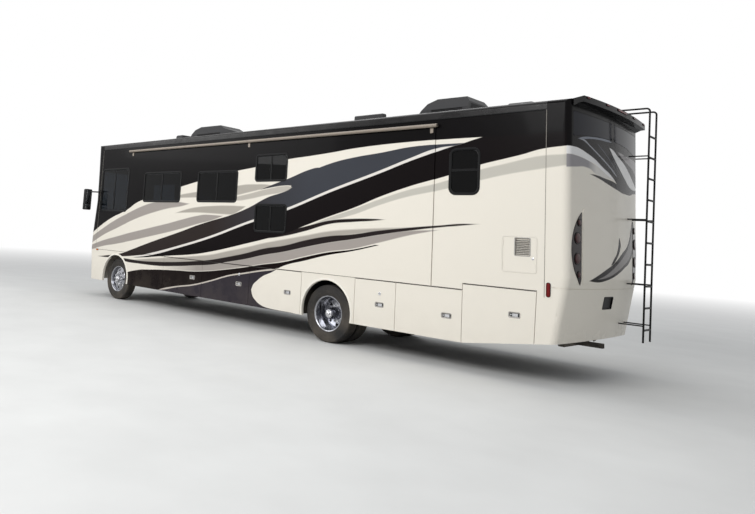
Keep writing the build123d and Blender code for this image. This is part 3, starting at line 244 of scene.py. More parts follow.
taupeTop = [(x, low) for x, high, low in footBand if -1.5 <= x <= 5.5]
sideStripes = [
    # dark skirt, its darker upper part and the light line between the two
    {"tone": tone(50, 46, 52), "upper": skirtLine, "lower": [(-0.95, belowAll), (6.35, belowAll)]},
    {"tone": tone(20, 12, 12), "upper": skirtLine, "lower": skirtSplit + [(5.2, belowAll)]},
    {"tone": tone(196, 188, 178), "line": skirtSplit, "width": 0.026},
    # cream over and ahead of the rear wheel
    {"tone": cream,
     "upper": [(-2.2, 1.93), (-1.7, 1.82), (-1.0, 1.64), (-0.5, 1.52), (0, 1.425), (0.5, 1.30), (1.0, 1.17),
               (1.3, 1.03), (1.5, 0.95), (1.65, 0.85), (1.74, 0.77), (1.78, 0.68)],
     "lower": [(0.3, belowAll), (0.64, 0.385), (1.3, 0.40), (1.5, 0.43), (1.65, 0.50), (1.74, 0.58),
               (1.78, 0.68)]},
    # pale shade under the swoosh
    {"tone": paleGrey, "soft": 0.02,
     "band": [(-3.83, 2.95, 2.81), (-3.5, 2.94, 2.77), (-3, 2.85, 2.70), (-2.65, 2.78, 2.63),
              (-2, 2.60, 2.49), (-1.5, 2.50, 2.40), (-1, 2.36, 2.27), (-0.5, 2.20, 2.11), (0.1, 2.02, 1.98),
              (0.5, 1.90, 1.90)]},
    # long waist band: soft grey, dark line, taupe that fades to cream
    {"tone": tone(168, 162, 153), "soft": 0.03,
     "band": [(-2.0, 1.99, 1.99), (-0.5, 1.87, 1.79), (0, 1.82, 1.73), (0.5, 1.73, 1.64), (1, 1.64, 1.52),
              (1.5, 1.55, 1.44), (2, 1.44, 1.32), (2.5, 1.34, 1.22), (3, 1.24, 1.13), (3.5, 1.18, 1.07),
              (4, 1.13, 1.02), (5, 1.03, 0.95), (6.1, 0.94, 0.94)]},
    {"tone": tone(36, 30, 30), "band": footBand, "soft": 0.012},
    {"tone": taupe, "turns": (3.4, 4.9, cream), "soft": 0.015,
     "upper": [(-2.2, 1.94)] + taupeTop + [(6.3, 0.86)],
     "lower": [(-2.2, 1.94), (-2, 1.91), (-1.6, 1.83), (-1, 1.68), (-0.5, 1.56), (0, 1.485), (0.5, 1.375),
               (1, 1.255), (1.5, 1.17), (2, 1.08), (2.5, 1.00), (3, 0.93), (3.5, 0.88), (4, 0.86), (5, 0.80),
               (5.5, 0.75), (6.0, 0.62), (6.3, 0.35)]},
    # dark stroke over the rear wheel
    {"tone": tone(30, 24, 24), "soft": 0.012,
     "band": [(-1.22, 2.045, 2.045), (-0.9, 2.05, 2.02), (-0.5, 2.042, 1.99), (0, 2.0, 1.94),
              (0.5, 1.89, 1.81), (1.0, 1.77, 1.70), (1.6, 1.60, 1.58)]},
    # streaks that run to the nose, then short ones behind them
    {"tone": taupe, "soft": 0.02,
     "upper": [(3.6, 2.27), (4.5, 2.30), (5.0, 2.27), (5.5, 2.17), (6.0, 2.02), (6.5, 1.86), (7.0, 1.66),
               (7.62, 1.38)],
     "lower": [(3.6, 2.25), (4.0, 2.20), (4.5, 2.14), (5.0, 2.05), (5.5, 1.94), (6.0, 1.80), (6.5, 1.64),
               (7.0, 1.48), (7.62, 1.22)]},
    {"tone": taupe, "soft": 0.015,
     "upper": [(2.6, 2.03), (3.2, 2.03), (3.5, 2.00), (4.0, 1.91), (4.5, 1.81), (5.0, 1.72), (5.5, 1.63),
               (6.0, 1.54), (6.5, 1.44), (7.0, 1.34), (7.62, 1.18)],
     "lower": [(2.6, 2.03), (3.0, 1.93), (3.5, 1.83), (4.0, 1.72), (4.5, 1.62), (5.0, 1.53), (5.5, 1.44),
               (6.0, 1.35), (6.5, 1.27), (7.0, 1.20), (7.62, 1.07)]},
    {"tone": tone(168, 162, 152), "soft": 0.02,
     "upper": [(2.0, 2.23), (2.5, 2.22), (3.0, 2.21), (3.5, 2.18), (3.9, 2.12), (4.4, 2.02)],
     "lower": [(2.0, 2.23), (2.2, 2.14), (2.5, 2.05), (3.0, 2.06), (3.5, 2.07), (3.9, 2.06), (4.4, 2.02)]},
    {"tone": tone(172, 166, 156), "soft": 0.02,
     "band": [(1.2, 2.60, 2.60), (1.7, 2.63, 2.53), (2.0, 2.63, 2.48), (2.4, 2.60, 2.42), (3.6, 2.49, 2.38),
              (4.2, 2.42, 2.37), (4.75, 2.34, 2.34)]},
    # brushed grey over the swoosh, with its loose end and a pale gap
    {"tone": tone(60, 62, 68), "turns": (0.5, 3.0, tone(44, 37, 35)),
     "upper": [(-2.45, 3.18), (-2, 3.175), (-1.5, 3.16), (-1, 3.10), (-0.5, 3.05), (0, 2.97), (0.5, 2.82),
               (0.85, 2.64), (1.0, 2.52), (1.5, 2.38), (2.0, 2.18), (2.5, 2.03), (3.0, 1.92), (3.5, 1.80),
               (4.0, 1.66), (4.5, 1.53), (5.0, 1.40), (5.5, 1.26), (5.85, 1.16), (6.2, 1.07), (6.9, 0.975),
               (7.35, 0.935)],
     "lower": [(-2.45, 3.18)] + pinLine[:-1] + [(5.5, 1.07), (5.85, 1.03), (6.2, 1.0), (6.9, 0.94),
                                                (7.35, 0.935)]},
    {"tone": tone(60, 62, 68), "turns": (0.5, 3.0, tone(44, 37, 35)),
     "upper": [(0.2, 2.83), (0.3, 2.90), (0.5, 2.87), (1.0, 2.72), (1.3, 2.64), (1.8, 2.50)],
     "lower": [(0.2, 2.83), (0.3, 2.75), (0.5, 2.72), (0.8, 2.58), (1.0, 2.60), (1.5, 2.555), (1.8, 2.50)]},
    {"tone": tone(182, 176, 166), "soft": 0.02,
     "band": [(0.85, 2.57, 2.57), (1.0, 2.59, 2.51), (1.5, 2.54, 2.43), (2.0, 2.45, 2.35), (2.3, 2.40, 2.32),
              (2.9, 2.30, 2.30)]},
    # black swoosh, black window band and the pin line between them
    {"tone": tone(14, 9, 10), "lower": swooshFoot,
     "upper": [(-2.95, aboveAll), (-2.8, 3.3), (-2.5, 3.2)] + pinLine[:-1] + [(5.85, 1.0)]},
    {"tone": black, "upper": [(-2.87, aboveAll), (7.62, aboveAll)], "lower": upperEdge},
    {"tone": tone(222, 217, 210), "line": pinLine, "width": 0.046},
]
rearStripes = [
    # grey field, black window band and the white edge under it
    {"tone": tone(210, 207, 201), "turns": (0.55, 0.8, tone(146, 143, 145)), "soft": 0.015,
     "upper": [(-0.1, 2.75), (0.3, 2.83), (0.61, 2.89), (0.765, 2.92), (0.91, 2.94), (1.1, 2.955),
               (1.3, 2.96)],
     "lower": [(-0.1, 2.74), (0.3, 2.745), (0.6, 2.775), (0.74, 2.82), (0.91, 2.829), (1.1, 2.808),
               (1.3, 2.785)]},
    {"tone": black, "upper": [(-1.3, aboveAll), (1.3, aboveAll)],
     "lower": [(-1.3, 2.665), (-1.0, 2.64), (-0.74, 2.60), (-0.44, 2.60), (-0.19, 2.70), (0.1, 2.80),
               (0.35, 2.87), (0.61, 2.955), (0.84, 3.015), (0.98, 3.045), (1.12, 3.06), (1.3, 3.06)]},
    {"tone": tone(226, 225, 224), "soft": 0.010,
     "upper": [(-0.18, 2.72), (0.1, 2.815), (0.35, 2.88), (0.61, 2.965), (0.84, 3.018), (0.98, 3.045),
               (1.12, 3.06), (1.3, 3.06)],
     "lower": [(-0.18, 2.72), (0.1, 2.77), (0.35, 2.83), (0.61, 2.90), (0.77, 2.92), (0.91, 2.94),
               (1.1, 2.955), (1.3, 2.96)]},
    # dark tail of the right half, its white wing and grey shade
    {"tone": tone(18, 15, 18), "soft": 0.010,
     "upper": [(-1.3, 2.70), (-0.93, 2.69), (-0.64, 2.695), (-0.27, 2.70), (0, 2.727), (0.3, 2.742),
               (0.58, 2.757), (0.84, 2.75)],
     "lower": [(-1.3, 2.665), (-1.0, 2.64), (-0.74, 2.60), (-0.44, 2.60), (-0.19, 2.623), (0.17, 2.669),
               (0.47, 2.716), (0.84, 2.75)]},
    {"tone": tone(228, 227, 225), "soft": 0.008,
     "upper": [(-1.3, 2.72), (-1.21, 2.737), (-0.88, 2.876), (-0.55, 3.009), (-0.2, 3.104), (0.02, 3.17),
               (0.157, 3.19)],
     "lower": [(-1.3, 2.71), (-1.05, 2.70), (-0.81, 2.716), (-0.54, 2.811), (-0.28, 2.934), (-0.05, 3.057),
               (0.157, 3.19)]},
    {"tone": tone(152, 148, 148), "soft": 0.015,
     "upper": [(-1.3, 3.116), (-1.03, 3.15), (-0.56, 3.151), (-0.3, 3.165), (-0.12, 3.18)],
     "lower": [(-1.3, 2.90), (-1.16, 2.936), (-1.02, 2.993), (-0.66, 3.05), (-0.33, 3.12), (-0.12, 3.18)]},
    # grey lines across the black
    {"tone": tone(124, 128, 138), "width": 0.026,
     "line": [(0.0, 3.262), (0.154, 3.268), (0.46, 3.256), (0.735, 3.232), (0.93, 3.205), (1.12, 3.17)]},
    {"tone": tone(150, 152, 158), "width": 0.020,
     "line": [(-0.2, 2.79), (-0.116, 2.83), (0.16, 2.93), (0.47, 3.03), (0.74, 3.12), (0.93, 3.18),
              (1.12, 3.175)]},
    {"tone": tone(74, 76, 84), "width": 0.016,
     "line": [(-0.42, 2.76), (-0.1, 2.91), (0.2, 3.05), (0.45, 3.15), (0.6, 3.20)]},
    {"tone": tone(74, 76, 84), "width": 0.014,
     "line": [(-0.55, 2.75), (-0.3, 2.87), (-0.05, 3.01), (0.2, 3.16)]},
    # dark swoosh round the lamps, its grey shade and a short dark stroke
    {"tone": tone(22, 18, 20), "soft": 0.008,
     "upper": [(-0.95, 2.0), (-0.93, 2.25), (-0.86, 2.15), (-0.762, 1.987), (-0.646, 1.872), (-0.40, 1.755),
               (-0.074, 1.612), (0.264, 1.506), (0.553, 1.418), (0.80, 1.355)],
     "lower": [(-0.95, 2.0), (-0.93, 1.78), (-0.80, 1.657), (-0.482, 1.541), (-0.143, 1.443), (0.205, 1.373),
               (0.5, 1.344), (0.80, 1.355)]},
    {"tone": tone(136, 132, 130), "soft": 0.012,
     "upper": [(-0.95, 2.0), (-0.93, 2.2), (-0.88, 2.06), (-0.72, 1.86), (-0.587, 1.77), (-0.308, 1.64),
               (0, 1.52), (0.264, 1.435), (0.4, 1.405), (0.62, 1.369)],
     "lower": [(-0.95, 2.0), (-0.93, 1.86), (-0.88, 1.79), (-0.76, 1.695), (-0.48, 1.585), (-0.14, 1.482),
               (0.2, 1.41), (0.4, 1.388), (0.62, 1.369)]},
    {"tone": tone(28, 24, 26), "soft": 0.010,
     "upper": [(-0.33, 1.85), (-0.30, 1.91), (-0.25, 1.96), (-0.215, 1.85), (-0.154, 1.746), (-0.04, 1.663),
               (0.10, 1.56)],
     "lower": [(-0.33, 1.85), (-0.27, 1.764), (-0.17, 1.68), (-0.04, 1.60), (0.10, 1.56)]},
]
noseStripes = [
    {"tone": taupe, "soft": 0.015, "band": [(0.50, 1.10, 1.10), (0.9, 1.15, 1.08), (1.3, 1.18, 1.06)]},
    {"tone": taupe, "soft": 0.015, "band": [(0.55, 1.53, 1.53), (0.9, 1.50, 1.44), (1.3, 1.38, 1.22)]},
    {"tone": black, "upper": [(0, aboveAll), (1.3, aboveAll)],
     "lower": [(0, 1.60), (0.5, 1.60), (0.9, 1.55), (1.3, 1.46)]},
]
curveTop = 5.0  # metres that a float curve's value of 1 stands for


def stripeLines(stripe):
    if "line" in stripe:
        rise, ends = stripe["width"] / 2, (stripe["line"][0][0], stripe["line"][-1][0])
        return [[(x, z if x in ends else z + shift) for x, z in stripe["line"]] for shift in (rise, -rise)]
    if "band" in stripe:
        return [(x, high) for x, high, low in stripe["band"]], [(x, low) for x, high, low in stripe["band"]]
    return stripe["upper"], stripe["lower"]


def lineCurve(tree, along, points, span):
    low, high = span
    node = tree.nodes.new("ShaderNodeFloatCurve")
    curve = node.mapping.curves[0]
    placed = sorted(((x - low) / (high - low), z / curveTop) for x, z in points)
    curve.points[0].location, curve.points[1].location = placed[0], placed[-1]
    for spot in placed[1:-1]:
        curve.points.new(*spot)
    for point in curve.points:
        point.handle_type = "AUTO_CLAMPED"
    node.mapping.extend = "HORIZONTAL"
    node.mapping.update()
    feed(tree, node.inputs["Value"], mapRange(tree, along, low, high))
    return maths(tree, "MULTIPLY", node.outputs[0], curveTop)


def closeTips(upper, lower, soft):
    # where the lines meet at a tip, they cross by the softness, so that no faint edge is left beyond it
    upper, lower = sorted(upper), sorted(lower)
    for end in (0, -1):
        (xUp, zUp), (xLow, zLow) = upper[end], lower[end]
        if xUp == xLow and abs(zUp - zLow) < 0.03:
            upper[end], lower[end] = (xUp, zLow - soft), (xLow, zUp + soft)
    return upper, lower


def paintStripes(tree, along, height, under, stripes):
    colour = under
    for stripe in stripes:
        soft = stripe.get("soft", 0.006)
        upper, lower = closeTips(*stripeLines(stripe), soft)
        span = (min(upper[0][0], lower[0][0]), max(upper[-1][0], lower[-1][0]))
        mask = useGroup(tree, stripeBand, Height=height, Softness=soft,
                        Upper=lineCurve(tree, along, upper, span),
                        Lower=lineCurve(tree, along, lower, span)).outputs[0]
        paint = stripe["tone"]
        if "turns" in stripe:
            rear, front, late = stripe["turns"]
            paint = mixColour(tree, mapRange(tree, along, rear, front), paint, late)
        colour = mixColour(tree, mask, colour, paint)
    return colour


liveryEdges = {
    "rearCap": (-3.72, -3.74), "noseCap": (7.0, 7.02),  # stations between which the caps' own stripes fade in
    "rearTurn": (-0.45, -0.55), "noseTurn": (0.45, 0.55), "inward": (-0.4, -0.6),  # parts of the unit normal
}


def buildLivery():
    group, start, end = newGroup(
        "stripedColour",
        [("Place", "NodeSocketVector", (0, 0, 0)), ("Facing", "NodeSocketVector", (0, 0, 0))],
        [("Colour", "NodeSocketColor")])
    split = group.nodes.new("ShaderNodeSeparateXYZ")
    group.links.new(start.outputs["Place"], split.inputs[0])
    facing = group.nodes.new("ShaderNodeSeparateXYZ")
    group.links.new(start.outputs["Facing"], facing.inputs[0])
    x, y, z = split.outputs
    along = maths(group, "SUBTRACT", x, rearAxle.x)
    side = paintStripes(group, along, z, cream, sideStripes)
    rear = paintStripes(group, y, z, cream, rearStripes)
    nose = paintStripes(group, maths(group, "ABSOLUTE", y), z, cream, noseStripes)
    onRear = maths(group, "MULTIPLY", mapRange(group, facing.outputs[0], *liveryEdges["rearTurn"]),
                   mapRange(group, along, *liveryEdges["rearCap"]))
    onNose = maths(group, "MULTIPLY", mapRange(group, facing.outputs[0], *liveryEdges["noseTurn"]),
                   mapRange(group, along, *liveryEdges["noseCap"]))
    colour = mixColour(group, onRear, side, rear)
    colour = mixColour(group, onNose, colour, nose)
    inward = maths(group, "MULTIPLY", facing.outputs[1], maths(group, "SIGN", y))
    onLining = mapRange(group, inward, *liveryEdges["inward"])
    group.links.new(mixColour(group, onLining, colour, lining), end.inputs["Colour"])
    return group


liveryGroup = buildLivery()


paintLook = {"dust": 0.12, "dustReach": 0.9, "dustRough": 1.2, "cleanCoat": 0.06, "dustyCoat": 0.02}
roofLook = {"edge": (1.135, 1.14), "dark": tone(206, 203, 196), "light": tone(228, 226, 220)}


def coachPaint():
    material, tree, shader, place = startMaterial(
        "coachPaint", Specular_IOR_Level=0.05, Coat_Roughness=0.06, Coat_IOR=1.35)
    facing = tree.nodes["Texture Coordinate"].outputs["Normal"]
    livery = useGroup(tree, liveryGroup, Place=place, Facing=facing)
    dusty = useGroup(tree, roadDust, Colour=livery.outputs[0], Place=place,
                     Amount=paintLook["dust"], Reach=paintLook["dustReach"])
    grain = useGroup(tree, fineGrain, Place=place, Scale=6.0, Low=0.22, High=0.27)
    feed(tree, shader.inputs["Base Color"], dusty.outputs["Colour"])
    feed(tree, shader.inputs["Roughness"],
         maths(tree, "ADD", grain.outputs["Value"],
               maths(tree, "MULTIPLY", dusty.outputs["Dust"], paintLook["dustRough"])))
    feed(tree, shader.inputs["Coat Weight"],
         mapRange(tree, dusty.outputs["Dust"], 0.0, 0.1, paintLook["cleanCoat"], paintLook["dustyCoat"]))
    peel = useGroup(tree, fineGrain, Place=place, Scale=55.0)
    addBump(tree, shader, peel.outputs["Mottle"], 0.015, 0.001)
    return material


def roofSkin():
    material, tree, shader, place = startMaterial("roofSkin", Specular_IOR_Level=0.25)
    split = tree.nodes.new("ShaderNodeSeparateXYZ")
    feed(tree, split.inputs[0], place)
    edge = mapRange(tree, maths(tree, "ABSOLUTE", split.outputs[1]), *roofLook["edge"])
    grain = useGroup(tree, fineGrain, Place=place, Scale=6.0, Low=0.45, High=0.62)
    membrane = mixColour(tree, grain.outputs["Mottle"], roofLook["dark"], roofLook["light"])
    feed(tree, shader.inputs["Base Color"], mixColour(tree, edge, membrane, black))
    feed(tree, shader.inputs["Roughness"], maths(tree, "SUBTRACT", grain.outputs["Value"],
                                                 maths(tree, "MULTIPLY", edge, 0.25)))
    weave = useGroup(tree, fineGrain, Place=place, Scale=220.0)
    addBump(tree, shader, weave.outputs["Mottle"], 0.12, 0.001)
    return material


def wheelShine():
    material, tree, shader, place = startMaterial("polishedWheel", Metallic=1.0)
    grain = useGroup(tree, fineGrain, Place=place, Scale=26.0, Low=0.1, High=0.26)
    feed(tree, shader.inputs["Base Color"],
         mixColour(tree, grain.outputs["Mottle"], tone(132, 133, 138), tone(190, 191, 196)))
    feed(tree, shader.inputs["Roughness"], grain.outputs["Value"])
    addBump(tree, shader, grain.outputs["Mottle"], 0.05, 0.001)
    return material


def glassFinish(name, tint, bend=1.45):
    material, tree, shader, place = startMaterial(name, Transmission_Weight=1.0, IOR=bend)
    grain = useGroup(tree, fineGrain, Place=place, Scale=2.5, Low=0.0, High=0.03)
    paler = tuple(v * 1.25 for v in tint[:3]) + (1.0,)
    feed(tree, shader.inputs["Base Color"], mixColour(tree, grain.outputs["Mottle"], tint, paler))
    feed(tree, shader.inputs["Roughness"], grain.outputs["Value"])
    return material


def lensFinish(name, dark, light, scale=(0, 0, 90)):  # ribs a metre along each axis
    material, tree, shader, place = startMaterial(
        name, Specular_IOR_Level=0.2, Coat_Weight=0.1, Coat_Roughness=0.04)
    mapping = tree.nodes.new("ShaderNodeMapping")
    feed(tree, mapping.inputs["Vector"], place)
    mapping.inputs["Scale"].default_value = scale
    wave = tree.nodes.new("ShaderNodeTexWave")
    wave.bands_direction = "DIAGONAL"
    wave.inputs["Scale"].default_value = 1.0
    feed(tree, wave.inputs["Vector"], mapping.outputs[0])
    feed(tree, shader.inputs["Base Color"], mixColour(tree, wave.outputs["Fac"], dark, light))
    grain = useGroup(tree, fineGrain, Place=place, Scale=40.0, Low=0.1, High=0.2)
    feed(tree, shader.inputs["Roughness"], grain.outputs["Value"])
    addBump(tree, shader, wave.outputs["Fac"], 0.3, 0.001)
    return material


# plainFinish takes a name, a dark and a light tone, the grain's scale, roughness range and bump
paintFinish, roofFinish, brightFinish = coachPaint(), roofSkin(), wheelShine()
chassisFinish = plainFinish("chassisBlack", tone(16, 15, 15), tone(34, 32, 30), 8.0, (0.5, 0.8), 0.3,
                            dust=0.5)
castFinish = plainFinish("castMetal", tone(70, 68, 65), tone(104, 101, 96), 30.0, (0.45, 0.7), 0.4, 0.002,
                         dust=0.4, Metallic=0.7)
plasticFinish = plainFinish("blackPlastic", tone(11, 11, 12), tone(18, 18, 19), 160.0, (0.36, 0.5), 0.15,
                            Specular_IOR_Level=0.2)
frameFinish = plainFinish("frameBlack", tone(8, 8, 9), tone(13, 13, 14), 90.0, (0.3, 0.42), 0.06,
                          Specular_IOR_Level=0.15)
pipeFinish = plainFinish("pipeSteel", tone(92, 84, 76), tone(140, 132, 122), 14.0, (0.35, 0.65), 0.2,
                         Metallic=0.9)
rubberFinish = plainFinish("tyreRubber", tone(16, 15, 15), tone(29, 27, 26), 60.0, (0.7, 0.9), 0.3, dust=0.25)
deckFinish = plainFinish("deckBoard", tone(58, 50, 44), tone(80, 70, 62), 22.0, (0.6, 0.8), 0.2)
shroudFinish = plainFinish("shroudPlastic", tone(24, 24, 26), tone(36, 36, 38), 120.0, (0.42, 0.55), 0.12,
                             Specular_IOR_Level=0.3)
rollerFinish = plainFinish("rollerAlloy", tone(118, 108, 98), tone(150, 140, 128), 40.0, (0.3, 0.45), 0.1,
                           Metallic=0.35)
chromeFinish = plainFinish("chromeTrim", tone(196, 196, 198), tone(232, 232, 234), 60.0, (0.08, 0.2), 0.03,
                           Metallic=1.0)
leatherFinish = plainFinish("seatLeather", tone(92, 78, 66), tone(122, 106, 92), 140.0, (0.4, 0.55), 0.35,
                            0.002, Sheen_Weight=0.15)
shadeFinish = plainFinish("pleatedShade", tone(84, 82, 80), tone(112, 110, 106), 180.0, (0.7, 0.85), 0.1)
canvasFinish = plainFinish("rolledFabric", tone(52, 48, 46), tone(76, 70, 66), 240.0, (0.75, 0.9), 0.25)
coachGlass = glassFinish("coachGlass", tone(34, 38, 46), 1.22)
frontGlass = glassFinish("frontGlass", tone(150, 160, 160))
darkPane = plainFinish("darkPane", tone(6, 9, 20), tone(11, 16, 32), 3.0, (0.08, 0.12), 0.0,
                       Specular_IOR_Level=0.06)
mirrorFace = plainFinish("mirrorFace", tone(206, 210, 214), tone(216, 220, 224), 3.0, (0.01, 0.03), 0.0,
                         Metallic=1.0)
trimFinish = plainFinish("creamTrim", tone(212, 206, 194), tone(224, 218, 206), 90.0, (0.4, 0.5), 0.08,
                         dust=0.15)
latchFinish = plainFinish("latchZinc", tone(150, 147, 142), tone(176, 172, 166), 70.0, (0.3, 0.45), 0.08,
                          dust=0.1, Metallic=0.35)
archFinish = plainFinish("archTrim", tone(230, 225, 213), tone(238, 233, 222), 60.0, (0.3, 0.4), 0.03,
                         Specular_IOR_Level=0.2)
# dark seal strips: partly a real seal, partly the painted shadow in the gap along each lower door's top
doorSealShadeFinish = plainFinish("sealAndGapShade", tone(44, 40, 37), tone(58, 53, 49), 90.0, (0.6, 0.75), 0.1)
sealFinish = plainFinish("seamSeal", tone(122, 116, 108), tone(140, 134, 126), 90.0, (0.5, 0.65), 0.1)
cloudyLens = lensFinish("cloudyLens", tone(196, 200, 204), tone(228, 232, 234), (0, 60, 60))
redLens = lensFinish("redLens", tone(74, 6, 8), tone(128, 14, 16))
smokedRed = lensFinish("smokedRed", tone(12, 3, 5), tone(30, 6, 9))
smokedLens = lensFinish("smokedLens", tone(34, 5, 8), tone(72, 10, 13))
amberLens = lensFinish("amberLens", tone(176, 82, 12), tone(222, 124, 30))
clearLens = glassFinish("clearLens", tone(232, 236, 238))
print("materials ready:", len(bpy.data.materials))

nodeFinishes = {
    paintFinish: ["wall_left", "wall_right", "front_cap", "rear_cap", "skirt_panels", "slide_wall",
                  "entry_door"] + [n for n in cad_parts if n.startswith(("left_door", "right_door"))],
    roofFinish: ["roof"],
    chassisFinish: ["chassis_frame", "storage_bays", "tanks", "springs", "hitch", "slide_box", "entry_step"],
    castFinish: ["engine", "rear_axle", "front_axle", "knuckle_left", "knuckle_right", "driveshaft", "jacks"],
    plasticFinish: ["dashboard", "steering_wheel", "mirrors", "ladder"],
    pipeFinish: ["exhaust"],
    brightFinish: ["front_rim_left", "front_rim_right", "rear_rims_left", "rear_rims_right"],
    deckFinish: ["floor_deck"],
    shroudFinish: ["ac_units", "roof_fittings"],
    rollerFinish: ["slide_topper"],
    canvasFinish: ["awning"],
    frontGlass: ["windshield"],
    smokedRed: ["tail_lamps"],
    chromeFinish: ["grille"],
    clearLens: ["headlamps"],
}
for finish, names in nodeFinishes.items():
    for name in names:
        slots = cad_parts[name].material_slots
        if not slots:
            raise RuntimeError(name + " has no material slot")
        for entry in slots:
            entry.material = finish


# Mesh building

hands = ((1, "left"), (-1, "right"))


class Shape:  # rings of points joined by faces; paint is the number of the finish that a face gets

    def __init__(self):
        self.points, self.faces, self.paints = [], [], []

    def loft(self, rings, paint=0, closedRun=False):
        base, count = len(self.points), len(rings[0])
        for ring in rings:
            self.points += [Vector(p) for p in ring]
        runs = len(rings) if closedRun else len(rings) - 1
        for r in range(runs):
            here, there = base + r * count, base + (r + 1) % len(rings) * count
            for i in range(count):
                j = (i + 1) % count
                self.faces.append((here + i, here + j, there + j, there + i))
                self.paints.append(paint)
        if not closedRun:
            self.faces.append(tuple(base + i for i in reversed(range(count))))
            self.faces.append(tuple(base + runs * count + i for i in range(count)))
            self.paints += [paint, paint]

    def mesh(self, name, hub=None):
        mesh = bpy.data.meshes.new(name)
        mesh.from_pydata(self.points, [], self.faces)
        for face, paint in zip(mesh.polygons, self.paints):
            face.material_index = paint
        if hub is not None:
            mesh.transform(Matrix.Translation((hub.x, 0, hub.z)))
        return mesh


def finishPiece(name, source, finishes, body="coach", sharp=35, replaced=()):
    # source is a Shape or a mesh; its doubles are merged and its faces turned outwards
    mesh = source.mesh(name) if isinstance(source, Shape) else source
    piece = bpy.data.objects.new(name, mesh)
    bpy.context.scene.collection.objects.link(piece)
    for entry in finishes:
        if entry.name not in mesh.materials:
            mesh.materials.append(entry)
    shell = bmesh.new()
    shell.from_mesh(mesh)
    bmesh.ops.remove_doubles(shell, verts=shell.verts, dist=1e-5)
    bmesh.ops.recalc_face_normals(shell, faces=shell.faces)
    shell.to_mesh(mesh)
    shell.free()
    mesh.shade_smooth()
    mesh.set_sharp_from_angle(angle=math.radians(sharp))
    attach(piece, body)
    if replaced:
        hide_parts(*replaced)
    return piece


def circle(radius, count):
    turns = [2 * math.pi * i / count for i in range(count)]
    return [(radius * math.cos(turn), radius * math.sin(turn)) for turn in turns]


def roundedLoop(width, height, radius, steps=6):
    loop = []
    radius = max(min(radius, width / 2 - 1e-4, height / 2 - 1e-4), 1e-4)
    for quarter, (sx, sy) in enumerate(((1, 1), (-1, 1), (-1, -1), (1, -1))):
        for i in range(steps + 1):
            turn = math.pi / 2 * (quarter + i / steps)
            loop.append((sx * (width / 2 - radius) + radius * math.cos(turn),
                         sy * (height / 2 - radius) + radius * math.sin(turn)))
    return loop


surfaceTrees = {}


def cast(node, origin, direction):  # first point of a CAD node on a ray, or None
    if node not in surfaceTrees:
        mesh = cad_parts[node].data
        surfaceTrees[node] = BVHTree.FromPolygons(
            [v.co for v in mesh.vertices], [tuple(face.vertices) for face in mesh.polygons])
    return surfaceTrees[node].ray_cast(Vector(origin), Vector(direction))[0]


def touch(node, origin, direction):
    spot = cast(node, origin, direction)
    if spot is None:
        raise RuntimeError(node + " has nothing at " + str(tuple(origin)))
    return spot


# Each of these four gives a function that puts a point, (u, v) along a surface and out from it, in place

def onSide(side, x, z, skin):
    return lambda u, v, out: (x + u, side * (skin + out), z + v)


def onTail(y=0.0, z=0.0, node="rear_cap"):
    return lambda u, v, out: (touch(node, (cadLow.x - 1, y + u, z + v), (1, 0, 0)).x - out, y + u, z + v)


def onNose(y=0.0, z=0.0, node="front_cap"):
    return lambda u, v, out: (touch(node, (cadHigh.x + 1, y + u, z + v), (-1, 0, 0)).x + out, y + u, z + v)


def onRoof(x, y):
    return lambda u, v, out: (x + u, y + v, touch("roof", (x + u, y + v, cadHigh.z + 1), (0, 0, -1)).z + out)


def tube(shape, points, radius, count):
    points, side, rings = [Vector(p) for p in points], None, []
    for i, point in enumerate(points):
        ahead = (points[min(i + 1, len(points) - 1)] - points[max(i - 1, 0)]).normalized()
        side = ahead.orthogonal() if side is None else side - ahead * side.dot(ahead)
        side.normalize()
        lift = ahead.cross(side)
        rings.append([point + radius * (math.cos(turn) * side + math.sin(turn) * lift)
                      for turn in [2 * math.pi * k / count for k in range(count)]])
    shape.loft(rings)


def ribbon(shape, place, columns, low, high, edge=0.002):
    shape.loft([[place(u, foot, low), place(u, foot, high - edge), place(u, foot + edge, high),
                 place(u, top - edge, high), place(u, top, high - edge), place(u, top, low)]
                for u, foot, top in columns])


def evenly(start, end, count):
    return [start + (end - start) * i / count for i in range(count + 1)]


def ringed(shape, place, width, height, radius, steps, paint=0, closedRun=False):
    # rounded rings one after another, each grown by the first value of its step and raised to the second
    rings = [[place(u, v, out) for u, v in roundedLoop(width + 2 * grow, height + 2 * grow, radius + grow)]
             for grow, out in steps]
    shape.loft(rings, paint, closedRun)


def block(shape, place, width, height, low, high, radius=0.002, edge=0.0015, paint=0):
    ringed(shape, place, width, height, radius,
           [(-edge, low), (0, low + edge), (0, high - edge), (-edge, high)], paint)


def latheRings(profile, count):
    return [[(u, along, v) for u, v in circle(radius, count)] for along, radius in profile]


